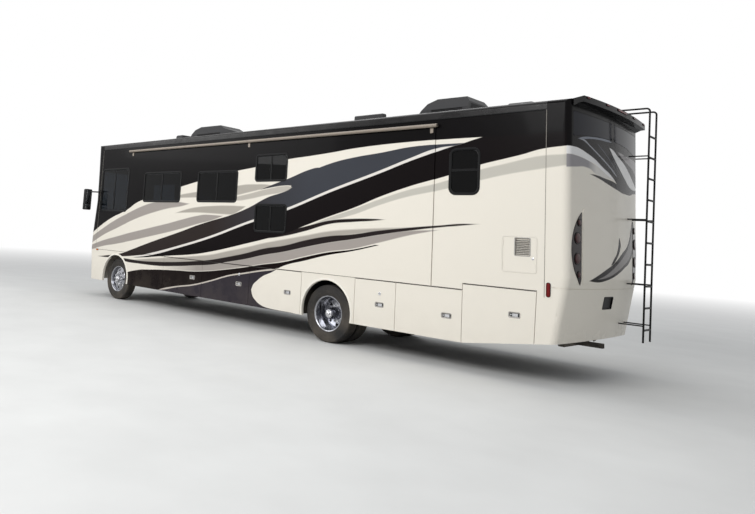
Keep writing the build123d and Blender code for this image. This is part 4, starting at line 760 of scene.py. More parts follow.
def buildRepeat():
    tree = bpy.data.node_groups.new("repeatAlong", "GeometryNodeTree")
    face = tree.interface
    face.new_socket("Geometry", in_out="INPUT", socket_type="NodeSocketGeometry")
    sockets = {}
    for label, kind in (("Count", "NodeSocketInt"), ("Step", "NodeSocketVector"),
                        ("Turn", "NodeSocketVector"), ("Finish", "NodeSocketMaterial")):
        sockets[label] = face.new_socket(label, in_out="INPUT", socket_type=kind).identifier
    face.new_socket("Geometry", in_out="OUTPUT", socket_type="NodeSocketGeometry")
    nodes, link = tree.nodes, tree.links.new
    start, end = nodes.new("NodeGroupInput"), nodes.new("NodeGroupOutput")
    line = nodes.new("GeometryNodeMeshLine")
    link(start.outputs["Count"], line.inputs["Count"])
    link(start.outputs["Step"], line.inputs["Offset"])
    spread = nodes.new("GeometryNodeInstanceOnPoints")
    link(line.outputs[0], spread.inputs["Points"])
    link(start.outputs["Geometry"], spread.inputs["Instance"])
    turned = nodes.new("ShaderNodeVectorMath")
    turned.operation = "SCALE"
    link(start.outputs["Turn"], turned.inputs[0])
    link(nodes.new("GeometryNodeInputIndex").outputs[0], turned.inputs["Scale"])
    rotate = nodes.new("GeometryNodeRotateInstances")
    rotate.inputs["Local Space"].default_value = False
    link(spread.outputs[0], rotate.inputs["Instances"])
    link(turned.outputs[0], rotate.inputs["Rotation"])
    realized = nodes.new("GeometryNodeRealizeInstances")
    link(rotate.outputs[0], realized.inputs[0])
    painted = nodes.new("GeometryNodeSetMaterial")
    link(realized.outputs[0], painted.inputs["Geometry"])
    link(start.outputs["Finish"], painted.inputs["Material"])
    link(painted.outputs[0], end.inputs[0])
    return tree, sockets


repeatTree, repeatSockets = buildRepeat()


def repeated(name, shape, count, finish, step=(0, 0, 0), turn=(0, 0, 0), hub=None):
    # each copy stands one step on from the last and is turned by one turn more about the origin
    mesh = shape.mesh(name + "Seed")
    seed = bpy.data.objects.new(name + "Seed", mesh)
    bpy.context.scene.collection.objects.link(seed)
    modifier = seed.modifiers.new("repeat", "NODES")
    modifier.node_group = repeatTree
    for label, value in (("Count", count), ("Step", step), ("Turn", turn), ("Finish", finish)):
        modifier[repeatSockets[label]] = value
    evaluated = seed.evaluated_get(bpy.context.evaluated_depsgraph_get())
    result = bpy.data.meshes.new_from_object(evaluated)
    seed.modifiers.clear()
    bpy.data.objects.remove(seed)
    bpy.data.meshes.remove(mesh)
    result.name = name
    if hub is not None:
        result.transform(Matrix.Translation((hub.x, 0, hub.z)))
    return result


def repeatedRound(name, shape, count, finish, hub):
    return repeated(name, shape, count, finish, turn=(0, 2 * math.pi / count, 0), hub=hub)


# Wheels

wheelSizes = {
    "treadRadius": 0.4695, "treadHalf": 0.094, "tyreHalf": 0.1175, "grooveDepth": 0.010, "grooveHalf": 0.006,
    "grooves": (-0.054, -0.018, 0.018, 0.054), "blockCount": 64, "blockShare": 0.72, "segments": 96,
    "nutCount": 10, "nutRadius": 0.0165, "studRadius": 0.0085,
    "frontNuts": (0.127, 0.0882), "rearNuts": (0.131, 0.0302),  # radius of the ring, seat beyond the row
}
# profiles are (across the tyre from its middle, radius)
sidewall = [(-0.088, 0.2845), (-0.100, 0.289), (-0.1055, 0.300), (-0.104, 0.308), (-0.1075, 0.315),
            (-0.1155, 0.345), (-0.1170, 0.372), (-0.1160, 0.376), (-0.1168, 0.380), (-0.1150, 0.410),
            (-0.1105, 0.436), (-0.1115, 0.440), (-0.1085, 0.4515), (-0.102, 0.4600)]
flangeProfile = [(0.085, 0.266), (0.100, 0.270), (0.1065, 0.279), (0.1085, 0.289), (0.1055, 0.2925),
                 (0.1015, 0.288), (0.097, 0.2835), (0.085, 0.2805)]
# corners of a shoulder block, (beyond the tread's half width, below its radius)
blockSection = [(-0.004, 0.006), (0.008, 0.0135), (0.0135, 0.022), (0.006, 0.024), (-0.012, 0.012)]


def tyreProfile(sizes):
    outer, depth, half = sizes["treadRadius"], sizes["grooveDepth"], sizes["grooveHalf"]
    rearSide = sidewall + [(-sizes["treadHalf"], outer - 0.0035)]
    tread = []
    for groove in sizes["grooves"]:
        tread += [(groove - half, outer), (groove - half * 0.6, outer - depth),
                  (groove + half * 0.6, outer - depth), (groove + half, outer)]
    return rearSide + tread + [(-a, r) for a, r in reversed(rearSide)]


def tyre(name, body, hub, rows, replaced, sizes):
    shape = Shape()
    for y in rows:
        moved = [(a + y, r) for a, r in tyreProfile(sizes)]
        shape.loft(latheRings(moved, sizes["segments"]), closedRun=True)
    finishPiece(name, shape.mesh(name, hub), [rubberFinish], body, 40, [replaced])


def shoulderBlocks(name, body, hub, rows, sizes):
    outer, half, count = sizes["treadRadius"], sizes["treadHalf"], sizes["blockCount"]
    reach = math.pi * outer / count * sizes["blockShare"]
    shape = Shape()
    for y in rows:
        for side in (1, -1):
            shape.loft([[(along, y + side * (half + out), outer - down) for out, down in blockSection]
                        for along in (-reach, reach)])
    mesh = repeatedRound(name, shape, count, rubberFinish, hub)
    finishPiece(name, mesh, [rubberFinish], body, 30)


def lugNuts(name, body, hub, row, side, place, sizes):
    ring, beyond = place
    seat = row + beyond
    shape = Shape()
    nut = (sizes["nutRadius"], 6, ((0.0, 1.12), (0.003, 1.12), (0.003, 1.0), (0.019, 1.0), (0.022, 0.85)))
    stud = (sizes["studRadius"], 8, ((0.02, 1.0), (0.030, 1.0), (0.032, 0.7)))
    for radius, corners, steps in (nut, stud):
        shape.loft([[(ring + u * s, side * (seat + out), v * s) for u, v in circle(radius, corners)]
                    for out, s in steps])
    mesh = repeatedRound(name, shape, sizes["nutCount"], chromeFinish, hub)
    finishPiece(name, mesh, [chromeFinish], body, 30)


def beadFlange(name, body, hub, y, side, sizes):
    shape = Shape()
    profile = [(side * (y + a), r) for a, r in flangeProfile]
    shape.loft(latheRings(profile, sizes["segments"]), closedRun=True)
    finishPiece(name, shape.mesh(name, hub), [brightFinish], body, 40)


def dressWheels(side, hand, sizes):
    frontTyre, rearTyres = "front_tyre_" + hand, "rear_tyres_" + hand
    frontRow = abs(sum(corner.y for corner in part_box(frontTyre))) / 2
    faces = sorted(abs(corner.y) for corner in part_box(rearTyres))
    rearRows = [faces[1] - sizes["tyreHalf"], faces[0] + sizes["tyreHalf"]]  # the outer tyre first
    front, rear = ("front_wheel_" + hand, middle(frontTyre)), ("rear_wheels_" + hand, middle(rearTyres))
    tyre("frontTyre_" + hand, *front, [side * frontRow], frontTyre, sizes)
    tyre("rearTyres_" + hand, *rear, [side * row for row in rearRows], rearTyres, sizes)
    shoulderBlocks("frontTread_" + hand, *front, [side * frontRow], sizes)
    shoulderBlocks("rearTread_" + hand, *rear, [side * row for row in rearRows], sizes)
    beadFlange("frontFlange_" + hand, *front, frontRow, side, sizes)
    beadFlange("rearFlange_" + hand, *rear, rearRows[0], side, sizes)
    lugNuts("frontNuts_" + hand, *front, frontRow, side, sizes["frontNuts"], sizes)
    lugNuts("rearNuts_" + hand, *rear, sum(rearRows) / 2, side, sizes["rearNuts"], sizes)


for side, hand in hands:
    dressWheels(side, hand, wheelSizes)
print("wheels built")

# Windows: rear station, front station, sill, head, corner radius, divider ("upright", "level" or none)

windowSizes = {
    "frameOut": 0.016, "frameIn": 0.024, "proud": 0.006, "paneDepth": 0.008, "paneThick": 0.010,
    "bar": 0.034, "barStep": 0.009, "levelShift": 0.02, "catch": (0.012, 0.07), "catchShift": (0.030, 0.08),
    "pleatPitch": 0.022, "pleatDepth": 0.012, "pleatThick": 0.0025, "shadeGap": 0.034,
    "shadeShares": (0.45, 0.8, 0.62, 0.95),  # how far down the shades of a row are drawn
}
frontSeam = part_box("wall_left")[1].x - rearAxle.x
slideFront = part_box("slide_wall")[1].x - rearAxle.x
entryRear, entryFront = [corner.x - rearAxle.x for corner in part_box("entry_door")]
cabWindow = (frontSeam - 1.205, frontSeam - 0.05, 2.05, 3.06, 0.07, "upright")
# body, node that the frames stand for, side, skin, windows
windowTables = {
    "sideWindows": ("coach", "side_glass", 1, wallSkin, [
        cabWindow, (-2.64, -2.19, 2.44, 3.09, 0.095, "level")]),
    "slideWindows": ("slide_room", "slide_glass", 1, slideSkin, [
        (slideFront - 1.95, slideFront - 0.6, 2.285, 2.93, 0.06, "upright"),
        (slideFront - 3.73, slideFront - 2.53, 2.295, 2.905, 0.06, "upright"),
        (slideFront - 5.03, slideFront - 4.23, 2.69, 3.18, 0.06, "upright"),
        (slideFront - 5.07, slideFront - 4.28, 1.755, 2.25, 0.06, "upright")]),
    "kerbWindows": ("coach", "side_glass", -1, wallSkin, [
        cabWindow, (entryRear - 1.84, entryRear - 0.49, 2.285, 2.93, 0.06, "upright"),
        (0.9, 2.0, 2.285, 2.93, 0.06, "upright"), (-2.5, -1.7, 2.4, 3.0, 0.06, "upright")]),
    "entryWindow": ("entry_door", "entry_glass", -1, wallSkin, [
        (entryRear + 0.125, entryFront - 0.125, 1.95, 2.6, 0.06, None)]),
}


def windowFrame(shape, place, width, height, corner, divider, sizes):
    out, inner, proud = sizes["frameOut"], sizes["frameIn"], sizes["proud"]
    deep = -sizes["paneDepth"] - sizes["paneThick"]
    ringed(shape, place, width, height, corner, [
        (out, 0.0005), (out, proud - 0.002), (out - 0.003, proud), (-inner + 0.014, proud - 0.0003),
        (-inner + 0.011, proud - 0.003), (-inner + 0.004, proud - 0.004), (-inner, proud - 0.007),
        (-inner, deep), (-0.001, deep), (-0.001, 0.0005)], closedRun=True)
    bar, low = sizes["bar"], deep + sizes["barStep"]
    if divider == "upright":
        block(shape, place, bar, height - 2 * inner, low, -0.001, 0.004)
        du, dv = sizes["catchShift"]
        block(shape, lambda u, v, o: place(u + du, v - height * dv, o), *sizes["catch"], -0.002, 0.004, 0.003)
    if divider == "level":
        block(shape, lambda u, v, o: place(u, v + sizes["levelShift"], o), width - 2 * inner, bar, low,
              -0.001, 0.004)


def windowPane(shape, place, width, height, corner, sizes):
    depth, thick = sizes["paneDepth"], sizes["paneThick"]
    grow = -sizes["frameIn"] + 0.0005
    ringed(shape, place, width, height, corner, [
        (grow, -depth - thick + 0.001), (grow, -depth - 0.001), (grow - 0.003, -depth),
        (grow - 0.010, -depth)])


def pleatedShade(name, body, side, skin, window, share, sizes):
    rearX, frontX, sill, head = window[:4]
    pitch, deep, thick = sizes["pleatPitch"], sizes["pleatDepth"], sizes["pleatThick"]
    width = frontX - rearX - 0.02
    x, low = station((rearX + frontX) / 2), skin - sizes["shadeGap"]
    shape = Shape()
    fold = [(0, 0), (deep, pitch / 2), (0, pitch), (-0.002, pitch), (deep - thick, pitch / 2), (-0.002, 0)]
    shape.loft([[(x + u, side * (low + a), head - 0.012 - v) for a, v in fold]
                for u in (-width / 2, width / 2)])
    count = max(int((head - sill - 0.03) * share / pitch), 3)
    mesh = repeated(name, shape, count, shadeFinish, step=(0, 0, -pitch))
    finishPiece(name, mesh, [shadeFinish], body, 20)


for title, (body, node, side, skin, table) in windowTables.items():
    frames, panes = Shape(), Shape()
    for rearX, frontX, sill, head, corner, divider in table:
        place = onSide(side, station((rearX + frontX) / 2), (sill + head) / 2, skin)
        windowFrame(frames, place, frontX - rearX, head - sill, corner, divider, windowSizes)
        windowPane(panes, place, frontX - rearX, head - sill, corner, windowSizes)
    finishPiece(title + "Frames", frames, [frameFinish], body, 30, [node])
    finishPiece(title + "Panes", panes, [coachGlass], body, 30)
for title, (body, node, side, skin, table) in windowTables.items():
    for number, (window, share) in enumerate(zip(table, windowSizes["shadeShares"]), start=1):
        if window is not cabWindow:
            pleatedShade(title + "Shade" + str(number), body, side, skin, window, share, windowSizes)
print("windows built")

# Paddle latches of the lower doors, and dark seals along their tops that also stand in for the painted shadow
# in the gap above each door

latchSizes = {"width": 0.150, "height": 0.066, "depth": 0.0095, "corner": 0.014, "lockX": 0.046,
              "lockRadius": 0.0105}
# side, then station and height of each door's latch, from the rear
latchPlaces = {
    "left_door": (1, [(-3.18, 0.853), (-2.2, 0.72), (-1.06, 0.737), (0.874, 0.724), (2.13, 0.752),
                      (3.52, 0.752)]),
    "right_door": (-1, [(-3.18, 0.853), (-1.4, 0.737), (0.874, 0.74), (2.4, 0.74), (3.85, 0.74)]),
}
sealShadeSizes = {"width": 0.008, "drop": 0.0045, "low": 0.0004, "high": 0.0016}


def paddleLatch(body, side, x, z, sizes):
    shape, place = Shape(), onSide(side, x, z, wallSkin)
    deep = -sizes["depth"]
    ringed(shape, place, sizes["width"] - 0.001, sizes["height"] - 0.001, sizes["corner"], [
        (0, deep), (0, 0.0005), (0.007, 0.0005), (0.007, 0.002), (0.005, 0.0035), (-0.002, 0.003),
        (-0.006, 0.0005), (-0.010, -0.0075), (-0.012, deep)], 1)
    paddle = [(-0.052, 0.002), (-0.046, -0.0035), (-0.030, 0.0005), (0.020, 0.0025), (0.028, -0.001),
              (0.030, -0.0085), (-0.052, -0.0085)]
    shape.loft([[place(u, v, out) for u, out in paddle] for v in (-0.020, -0.017, 0.017, 0.020)])
    shape.loft([[place(sizes["lockX"] + u * s, v * s, out) for u, v in circle(sizes["lockRadius"], 16)]
                for out, s in ((-0.009, 1), (0.001, 1), (0.002, 0.9), (0.002, 0.45), (0.0005, 0.4))])
    finishPiece("latch_" + body, shape, [chromeFinish, latchFinish], body, 30)


# a dark strip along the door's top edge: partly a real seal, partly painted shadow in the gap above the door
def sealAndGapShade(body, side, sizes):
    low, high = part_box(body)
    shape, place = Shape(), onSide(side, (low.x + high.x) / 2, high.z - sizes["drop"], wallSkin)
    block(shape, place, high.x - low.x - 0.004, sizes["width"], sizes["low"], sizes["high"], 0.001, 0.0005)
    finishPiece("sealShade_" + body, shape, [doorSealShadeFinish], body, 30)


for prefix, (side, places) in latchPlaces.items():
    for number, (x, z) in enumerate(places, start=1):
        paddleLatch(prefix + "_" + str(number), side, station(x), z, latchSizes)
for prefix, (side, places) in latchPlaces.items():
    for number in range(1, len(places) + 1):
        sealAndGapShade(prefix + "_" + str(number), side, sealShadeSizes)
print("latches built")

# Trim of the wheel arches, kept where the panels carry it

archSizes = {
    "z": 0.5, "steps": 96, "stepDegrees": 1.25, "probe": 0.545,
    # corners of the section, (radius, out from the wall's skin)
    "section": ((0.5155, 0.0065), (0.518, 0.0105), (0.526, 0.0125), (0.545, 0.0085), (0.553, 0.004),
                (0.556, 0.0008), (0.5342, 0.0008), (0.5342, 0.0065)),
}


def archTrim(name, side, x, sizes):
    def onPanel(turn):
        spot = (x + sizes["probe"] * math.sin(turn), side * 3, sizes["z"] + sizes["probe"] * math.cos(turn))
        hits = [cast(node, spot, (0, -side, 0)) for node in ("skirt_panels", "front_cap")]
        return any(hit is not None and abs(abs(hit.y) - wallSkin) < 0.01 for hit in hits)

    turns = [math.radians(sizes["stepDegrees"]) * i for i in range(-sizes["steps"], sizes["steps"] + 1)]
    kept = [turn for turn in turns if onPanel(turn)]
    shape = Shape()
    shape.loft([[(x + r * math.sin(turn), side * (wallSkin + out), sizes["z"] + r * math.cos(turn))
                 for r, out in sizes["section"]] for turn in turns if kept[0] <= turn <= kept[-1]])
    finishPiece(name, shape, [archFinish], "coach", 30)


for side, hand in hands:
    archTrim("archTrim_front_" + hand, side, station(wheelbase), archSizes)
    archTrim("archTrim_rear_" + hand, side, rearAxle.x, archSizes)
print("arch trims built")

# Rear cap: panes, tail lights and plate recess, and the small lamps of both caps and the walls

tailSizes = {
    "paneInner": 0.048, "paneOuter": 1.182, "paneHead": 3.527, "paneCorner": 0.03, "paneColumns": 24,
    "paneSill": ((0.045, 3.293), (0.6, 3.273), (1.185, 3.203)),
    # y, height and radius of each light
    "lights": ((1.032, 1.435, 0.050), (1.072, 1.635, 0.078), (1.072, 1.895, 0.078), (1.032, 2.095, 0.050)),
    "lightRise": 0.012, "lightRim": 0.012,
    "plate": (0.348, 0.173, 1.0625), "plateCorner": 0.019, "tray": (0.304, 0.142, 0.010),
    "screwY": (-0.09, 0.09), "screwLift": 0.052,
}
# small lamps on a cap have rows of y, those on the walls a station and sides; size is width and height
lampSizes = {
    "visorLamps": {"y": (-1.08, -0.52, 0.52, 1.08), "z": 3.695, "size": (0.09, 0.030), "rise": 0.012},
    "brakeBar": {"y": (0,), "z": 3.695, "size": (0.36, 0.036), "rise": 0.012},
    "rearSideMarkers": {"sides": (1, -1), "x": -3.615, "z": 1.22, "size": (0.058, 0.185), "rise": 0.012},
    "frontSideMarkers": {"sides": (1, -1), "x": wheelbase + 0.86, "z": 1.10, "size": (0.10, 0.040),
                         "rise": 0.012},
    "browLamps": {"y": (-1.0, -0.24, 0, 0.24, 1.0), "z": 3.36, "size": (0.10, 0.034), "rise": 0.014},
    "fogLamps": {"y": (0.82, -0.82), "z": 0.69, "size": (0.13, 0.10), "rise": 0.016},
    "porchLight": {"sides": (-1,), "x": entryFront + 0.14, "z": 2.25, "size": (0.11, 0.16), "rise": 0.035},
}


def lineAt(points, x):
    for (xa, za), (xb, zb) in zip(points, points[1:]):
        if x <= xb:
            return za + (zb - za) * (x - xa) / (xb - xa)
    return points[-1][1]


def rearPanes(sizes):
    shape = Shape()
    inner, outer, corner = sizes["paneInner"], sizes["paneOuter"], sizes["paneCorner"]
    for side in (1, -1):
        columns = []
        for i in range(sizes["paneColumns"] + 1):
            y = inner + (outer - inner) * (1 - math.cos(math.pi * i / sizes["paneColumns"])) / 2
            gap = max(corner - min(y - inner, outer - y), 0)
            cut = corner - math.sqrt(corner ** 2 - gap ** 2)
            columns.append((side * y, lineAt(sizes["paneSill"], y) + cut, sizes["paneHead"] - cut))
        ribbon(shape, onTail(), columns, 0.0004, 0.0055)
    finishPiece("rearPanes", shape, [darkPane], "coach", 40)


def lampDome(shape, place, width, height, radius, rise, rim):
    ringed(shape, place, width, height, radius, [
        (0, 0.0004), (0, rise * 0.5), (-rim * 0.4, rise * 0.7), (-rim, rise * 0.5), (-rim, 0.0006),
        (-rim * 0.6, 0.0004)], 1, closedRun=True)
    ringed(shape, place, width - 2 * rim, height - 2 * rim, max(radius - rim, 0.002), [
        (0, 0.0006), (0, rise * 0.55), (-rim * 0.5, rise * 0.9), (-rim * 1.2, rise)])


def tailLights(sizes):
    for side, hand in hands:
        shape = Shape()
        for y, z, radius in sizes["lights"]:
            place = onTail(side * y, z, "tail_lamps")
            lampDome(shape, place, 2 * radius, 2 * radius, radius, sizes["lightRise"], sizes["lightRim"])
        finishPiece("tailLights_" + hand, shape, [smokedLens, frameFinish])


def smallLamps(name, lens, onCap=None):
    sizes, shape = lampSizes[name], Shape()
    width, height = sizes["size"]
    if onCap:
        places = [onCap(y, sizes["z"]) for y in sizes["y"]]
    else:
        places = [onSide(side, station(sizes["x"]), sizes["z"], wallSkin) for side in sizes["sides"]]
    for place in places:
        lampDome(shape, place, width, height, min(width, height) * 0.45, sizes["rise"], 0.006)
    finishPiece(name, shape, [lens, frameFinish])


def plateTray(sizes):
    width, height, z = sizes["plate"]
    shape, place = Shape(), onTail(0, z)
    ringed(shape, place, width - 0.001, height - 0.001, sizes["plateCorner"], [
        (0, 0.0005), (0, 0.0262), (-0.004, 0.0275), (-0.008, 0.0262), (-0.010, 0.006), (-0.013, 0.005)])
    ringed(shape, place, *sizes["tray"], [(0, 0.0055), (0, 0.009), (-0.002, 0.010), (-0.006, 0.0095)])
    for y in sizes["screwY"]:
        screw = onTail(y, z + sizes["screwLift"])
        ringed(shape, screw, 0.012, 0.012, 0.0059, [(0, 0.009), (0, 0.012), (-0.002, 0.013)])
    finishPiece("plateTray", shape, [frameFinish])


rearPanes(tailSizes)
tailLights(tailSizes)
plateTray(tailSizes)
smallLamps("visorLamps", redLens, onTail)
smallLamps("brakeBar", redLens, onTail)
smallLamps("rearSideMarkers", redLens)
smallLamps("frontSideMarkers", amberLens)
smallLamps("browLamps", amberLens, onNose)
print("rear cap and marker lamps dressed")

# Utility hatch with its vent, and the round locks

hatchSizes = {
    "x": -3.227, "z": 1.645, "width": 0.455, "height": 0.460, "hinges": (-0.14, 0.14), "lockRadius": 0.017,
    "lockShift": (-0.185, -0.05), "ventShift": (-0.045, 0.100), "ventWidth": 0.200, "ventHeight": 0.230,
    "slatPitch": 0.022, "slats": 9,
}
roundLocks = {
    "radius": 0.026,
    "places": (("left_door_3", 1, -1.06, 0.905), ("left_door_5", 1, 2.13, 0.93),
               ("right_door_2", -1, -1.06, 0.905)),
}


def roundLock(shape, place, radius, paint=0):
    ringed(shape, place, 2 * radius, 2 * radius, radius, [
        (0, 0.0005), (0, 0.003), (-radius * 0.15, 0.0045), (-radius * 0.5, 0.0045), (-radius * 0.55, 0.002),
        (-radius * 0.8, 0.002)], paint)
    block(shape, place, radius * 0.22, radius * 0.7, 0.0018, 0.0035, 0.001, 0.0005, paint)


def shifted(place, du, dv):
    return lambda u, v, out: place(u + du, v + dv, out)


def utilityHatch(sizes):
    shape = Shape()
    place = onSide(1, station(sizes["x"]), sizes["z"], wallSkin)
    ringed(shape, place, sizes["width"], sizes["height"], 0.03, [
        (0.012, 0.0005), (0.012, 0.0022), (0.008, 0.004), (-0.005, 0.004), (-0.009, 0.0022),
        (-0.009, 0.0005)], closedRun=True)
    for v in sizes["hinges"]:
        hinge = shifted(place, sizes["width"] / 2 - 0.002, v)
        block(shape, hinge, 0.022, 0.06, 0.001, 0.007, 0.004)
    roundLock(shape, shifted(place, *sizes["lockShift"]), sizes["lockRadius"], 2)
    du, dv = sizes["ventShift"]
    vent = onSide(1, station(sizes["x"] + du), sizes["z"] + dv, wallSkin)
    ringed(shape, vent, sizes["ventWidth"], sizes["ventHeight"], 0.012, [
        (0.010, 0.0005), (0.010, 0.0022), (0.006, 0.004), (-0.002, 0.0035), (-0.004, 0.001),
        (-0.004, -0.0243), (-0.001, -0.0243), (-0.001, 0.0005)], 1, closedRun=True)
    finishPiece("utilityHatch", shape, [trimFinish, latchFinish, chromeFinish])
    slat = Shape()
    section = [(0, -0.021), (0.013, -0.004), (0.0155, -0.0045), (0.003, -0.0225)]
    half, low = sizes["ventWidth"] / 2 - 0.0045, -sizes["ventHeight"] / 2 + 0.012
    slat.loft([[vent(u, low + v, out) for v, out in section] for u in (-half, half)])
    mesh = repeated("hatchSlats", slat, sizes["slats"], latchFinish, step=(0, 0, sizes["slatPitch"]))
    finishPiece("hatchSlats", mesh, [latchFinish], "coach", 30)


utilityHatch(hatchSizes)
for body, side, x, z in roundLocks["places"]:
    shape = Shape()
    roundLock(shape, onSide(side, station(x), z, wallSkin), roundLocks["radius"])
    finishPiece("roundLock_" + body, shape, [chromeFinish], body)
print("hatch and locks built")

# Mirror glass, wipers, lamp bowls and the lower intake of the nose

noseSizes = {
    "mirrorX": frontSeam + 0.175, "mirrorY": 1.5, "mirrorZ": 2.305, "mirrorWidth": 0.150,
    "mirrors": ((0.072, 0.318), (-0.170, 0.130)),  # shift up and height of the flat and the wide-angle glass
    "bowls": ((0.745, 1.305, 0.070), (0.915, 1.335, 0.074), (1.055, 1.365, 0.048)), "lensDepth": 0.043,
    "plateInner": 0.645, "plateLow": (1.198, 0.118), "plateHigh": (1.400, 0.172),  # height, rise outwards
    "intakeHalf": 0.556, "intakeLow": 0.624, "intakeHigh": 0.756, "intakeBars": 4, "intakeFins": 40,
    "pivotY": 0.98, "pivotZ": 1.705, "bladeZ": 1.855, "bladeStart": 0.06, "bladeEnd": 0.90,
    # y, height and distance off the glass
    "armPoints": ((0.80, 1.80, 0.034), (0.62, 1.835, 0.030), (0.48, 1.855, 0.022)),
}


def mirrorGlass(sizes):
    shape, width, x = Shape(), sizes["mirrorWidth"], station(sizes["mirrorX"])
    for side in (1, -1):
        for lift, height in sizes["mirrors"]:
            def place(u, v, out):
                return x - out, side * sizes["mirrorY"] + u, sizes["mirrorZ"] + lift + v

            ringed(shape, place, width, height, 0.022, [
                (0, 0.0004), (0, 0.004), (-0.003, 0.006), (-0.007, 0.004), (-0.007, 0.0006),
                (-0.004, 0.0004)], 1, closedRun=True)
            ringed(shape, place, width - 0.015, height - 0.015, 0.016, [
                (0, 0.0006), (0, 0.0025), (-0.002, 0.0032)])
    finishPiece("mirrorGlass", shape, [mirrorFace, frameFinish])


def wipers(sizes):
    shape, glass, cap = Shape(), onNose(0, 0, "windshield"), onNose()
    bladeSection = ((-0.010, 0.009), (-0.004, 0.0015), (0.002, 0.0015), (0.004, 0.009), (0.006, 0.018),
                    (-0.008, 0.018))
    for side in (1, -1):
        y, z = side * sizes["pivotY"], sizes["pivotZ"]
        ringed(shape, onNose(y, z), 0.044, 0.044, 0.0219, [
            (0, 0.0005), (0, 0.014), (-0.004, 0.022), (-0.010, 0.026)])
        arm = [cap(y, z, 0.018), cap(side * (sizes["pivotY"] - 0.06), z + 0.015, 0.030)]
        arm += [glass(side * across, up, out) for across, up, out in sizes["armPoints"]]
        tube(shape, arm, 0.0075, 8)
        shape.loft([[glass(across, sizes["bladeZ"] + v, out) for v, out in bladeSection]
                    for across in evenly(side * sizes["bladeStart"], side * sizes["bladeEnd"], 14)])
    finishPiece("wipers", shape, [frameFinish])


def lampBowls(sizes):
    bowls, plates = Shape(), Shape()
    deep, inner = sizes["lensDepth"], sizes["plateInner"]
    for side in (1, -1):
        for number, (y, z, radius) in enumerate(sizes["bowls"]):
            place = onNose(side * y, z, "headlamps")
            ringed(bowls, place, 2 * radius, 2 * radius, radius, [
                (-radius * 0.6, -deep - 0.046), (-0.002, -deep - 0.030), (0.003, -deep - 0.004),
                (0, -deep - 0.002), (-0.004, -deep - 0.004), (-radius * 0.2, -deep - 0.022),
                (-radius * 0.5, -deep - 0.035), (-radius * 0.7, -deep - 0.038)])
            ringed(bowls, place, radius * 0.5, radius * 0.5, radius * 0.25, [
                (0, -deep - 0.037), (0, -deep - 0.020), (-0.004, -deep - 0.012), (-0.010, -deep - 0.010)],
                1 if number == 2 else 2)  # the outermost bulb is amber
        (low, lowRise), (high, highRise) = sizes["plateLow"], sizes["plateHigh"]
        columns = [(side * y, low + lowRise * (y - inner), high + highRise * (y - inner))
                   for y in evenly(0.65, 1.135, 12)]
        ribbon(plates, onNose(0, 0, "headlamps"), columns, -deep - 0.056, -deep - 0.050)
    finishPiece("lampBowls", bowls, [chromeFinish, amberLens, cloudyLens])
    finishPiece("lampPlates", plates, [frameFinish])


def lowerIntake(sizes):
    shape, place, half = Shape(), onNose(), sizes["intakeHalf"]
    low, high = sizes["intakeLow"], sizes["intakeHigh"]
    across = evenly(-half + 0.012, half - 0.012, 32)
    ribbon(shape, place, [(y, low + 0.006, high - 0.006) for y in across], 0.0005, 0.003)
    for z in evenly(low + 0.018, high - 0.018, sizes["intakeBars"]):
        ribbon(shape, place, [(y, z - 0.004, z + 0.004) for y in across], 0.0035, 0.015)
    for y in evenly(-half + 0.02, half - 0.02, sizes["intakeFins"]):
        fin = [(y - 0.003, low + 0.012, high - 0.012), (y + 0.003, low + 0.012, high - 0.012)]
        ribbon(shape, place, fin, 0.0035, 0.011)
    finishPiece("lowerIntake", shape, [frameFinish], "coach", 30)


mirrorGlass(noseSizes)
wipers(noseSizes)
lampBowls(noseSizes)
lowerIntake(noseSizes)
smallLamps("fogLamps", cloudyLens, onNose)
print("nose dressed")

# Entry side: handle, grab rail and porch light

entrySizes = {
    "handleX": entryRear + 0.085, "handleZ": 1.80, "locks": ((0.052, 0.003, 0.013), (0.135, 0, 0.022)),
    "railX": entryRear - 0.13, "railLow": 1.42, "railHigh": 2.14, "railRadius": 0.014, "railOut": 0.062,
}


def entryHandle(sizes):
    shape, x, z = Shape(), station(sizes["handleX"]), sizes["handleZ"]
    place = onSide(-1, x, z, wallSkin)
    ringed(shape, place, 0.105, 0.165, 0.016, [
        (0, 0.0005), (0, 0.003), (-0.004, 0.005), (-0.014, 0.003), (-0.020, 0.001), (-0.030, 0.0009)], 1)
    pull = ((-0.030, 0.003), (-0.026, 0.014), (0.030, 0.019), (0.034, 0.015), (0.030, 0.004))
    shape.loft([[place(-0.010 + u, v, out) for u, out in pull] for v in (-0.052, -0.048, 0.018, 0.022)])
    for lift, proud, radius in sizes["locks"]:
        roundLock(shape, onSide(-1, x, z + lift, wallSkin + proud), radius)
    finishPiece("entryHandle", shape, [chromeFinish, plasticFinish], "entry_door")


def grabRail(sizes):
    shape, low, high, out = Shape(), sizes["railLow"], sizes["railHigh"], sizes["railOut"]
    route = [(low, 0.001), (low, 0.035), (low + 0.012, 0.055), (low + 0.04, out), ((low + high) / 2, out),
             (high - 0.04, out), (high - 0.012, 0.055), (high, 0.035), (high, 0.001)]
    place = onSide(-1, station(sizes["railX"]), 0, wallSkin)
    tube(shape, [place(0, z, away) for z, away in route], sizes["railRadius"], 14)
    for z in (low, high):
        foot = onSide(-1, station(sizes["railX"]), z, wallSkin)
        ringed(shape, foot, 0.062, 0.062, 0.0305, [(0, 0.0005), (0, 0.003), (-0.006, 0.007), (-0.014, 0.009)])
    finishPiece("grabRail", shape, [frameFinish])


entryHandle(entrySizes)
grabRail(entrySizes)
smallLamps("porchLight", cloudyLens)
print("entry side dressed")

# Roof: vent lids and louvres of the air conditioners, and the seams and drip rails under its edge

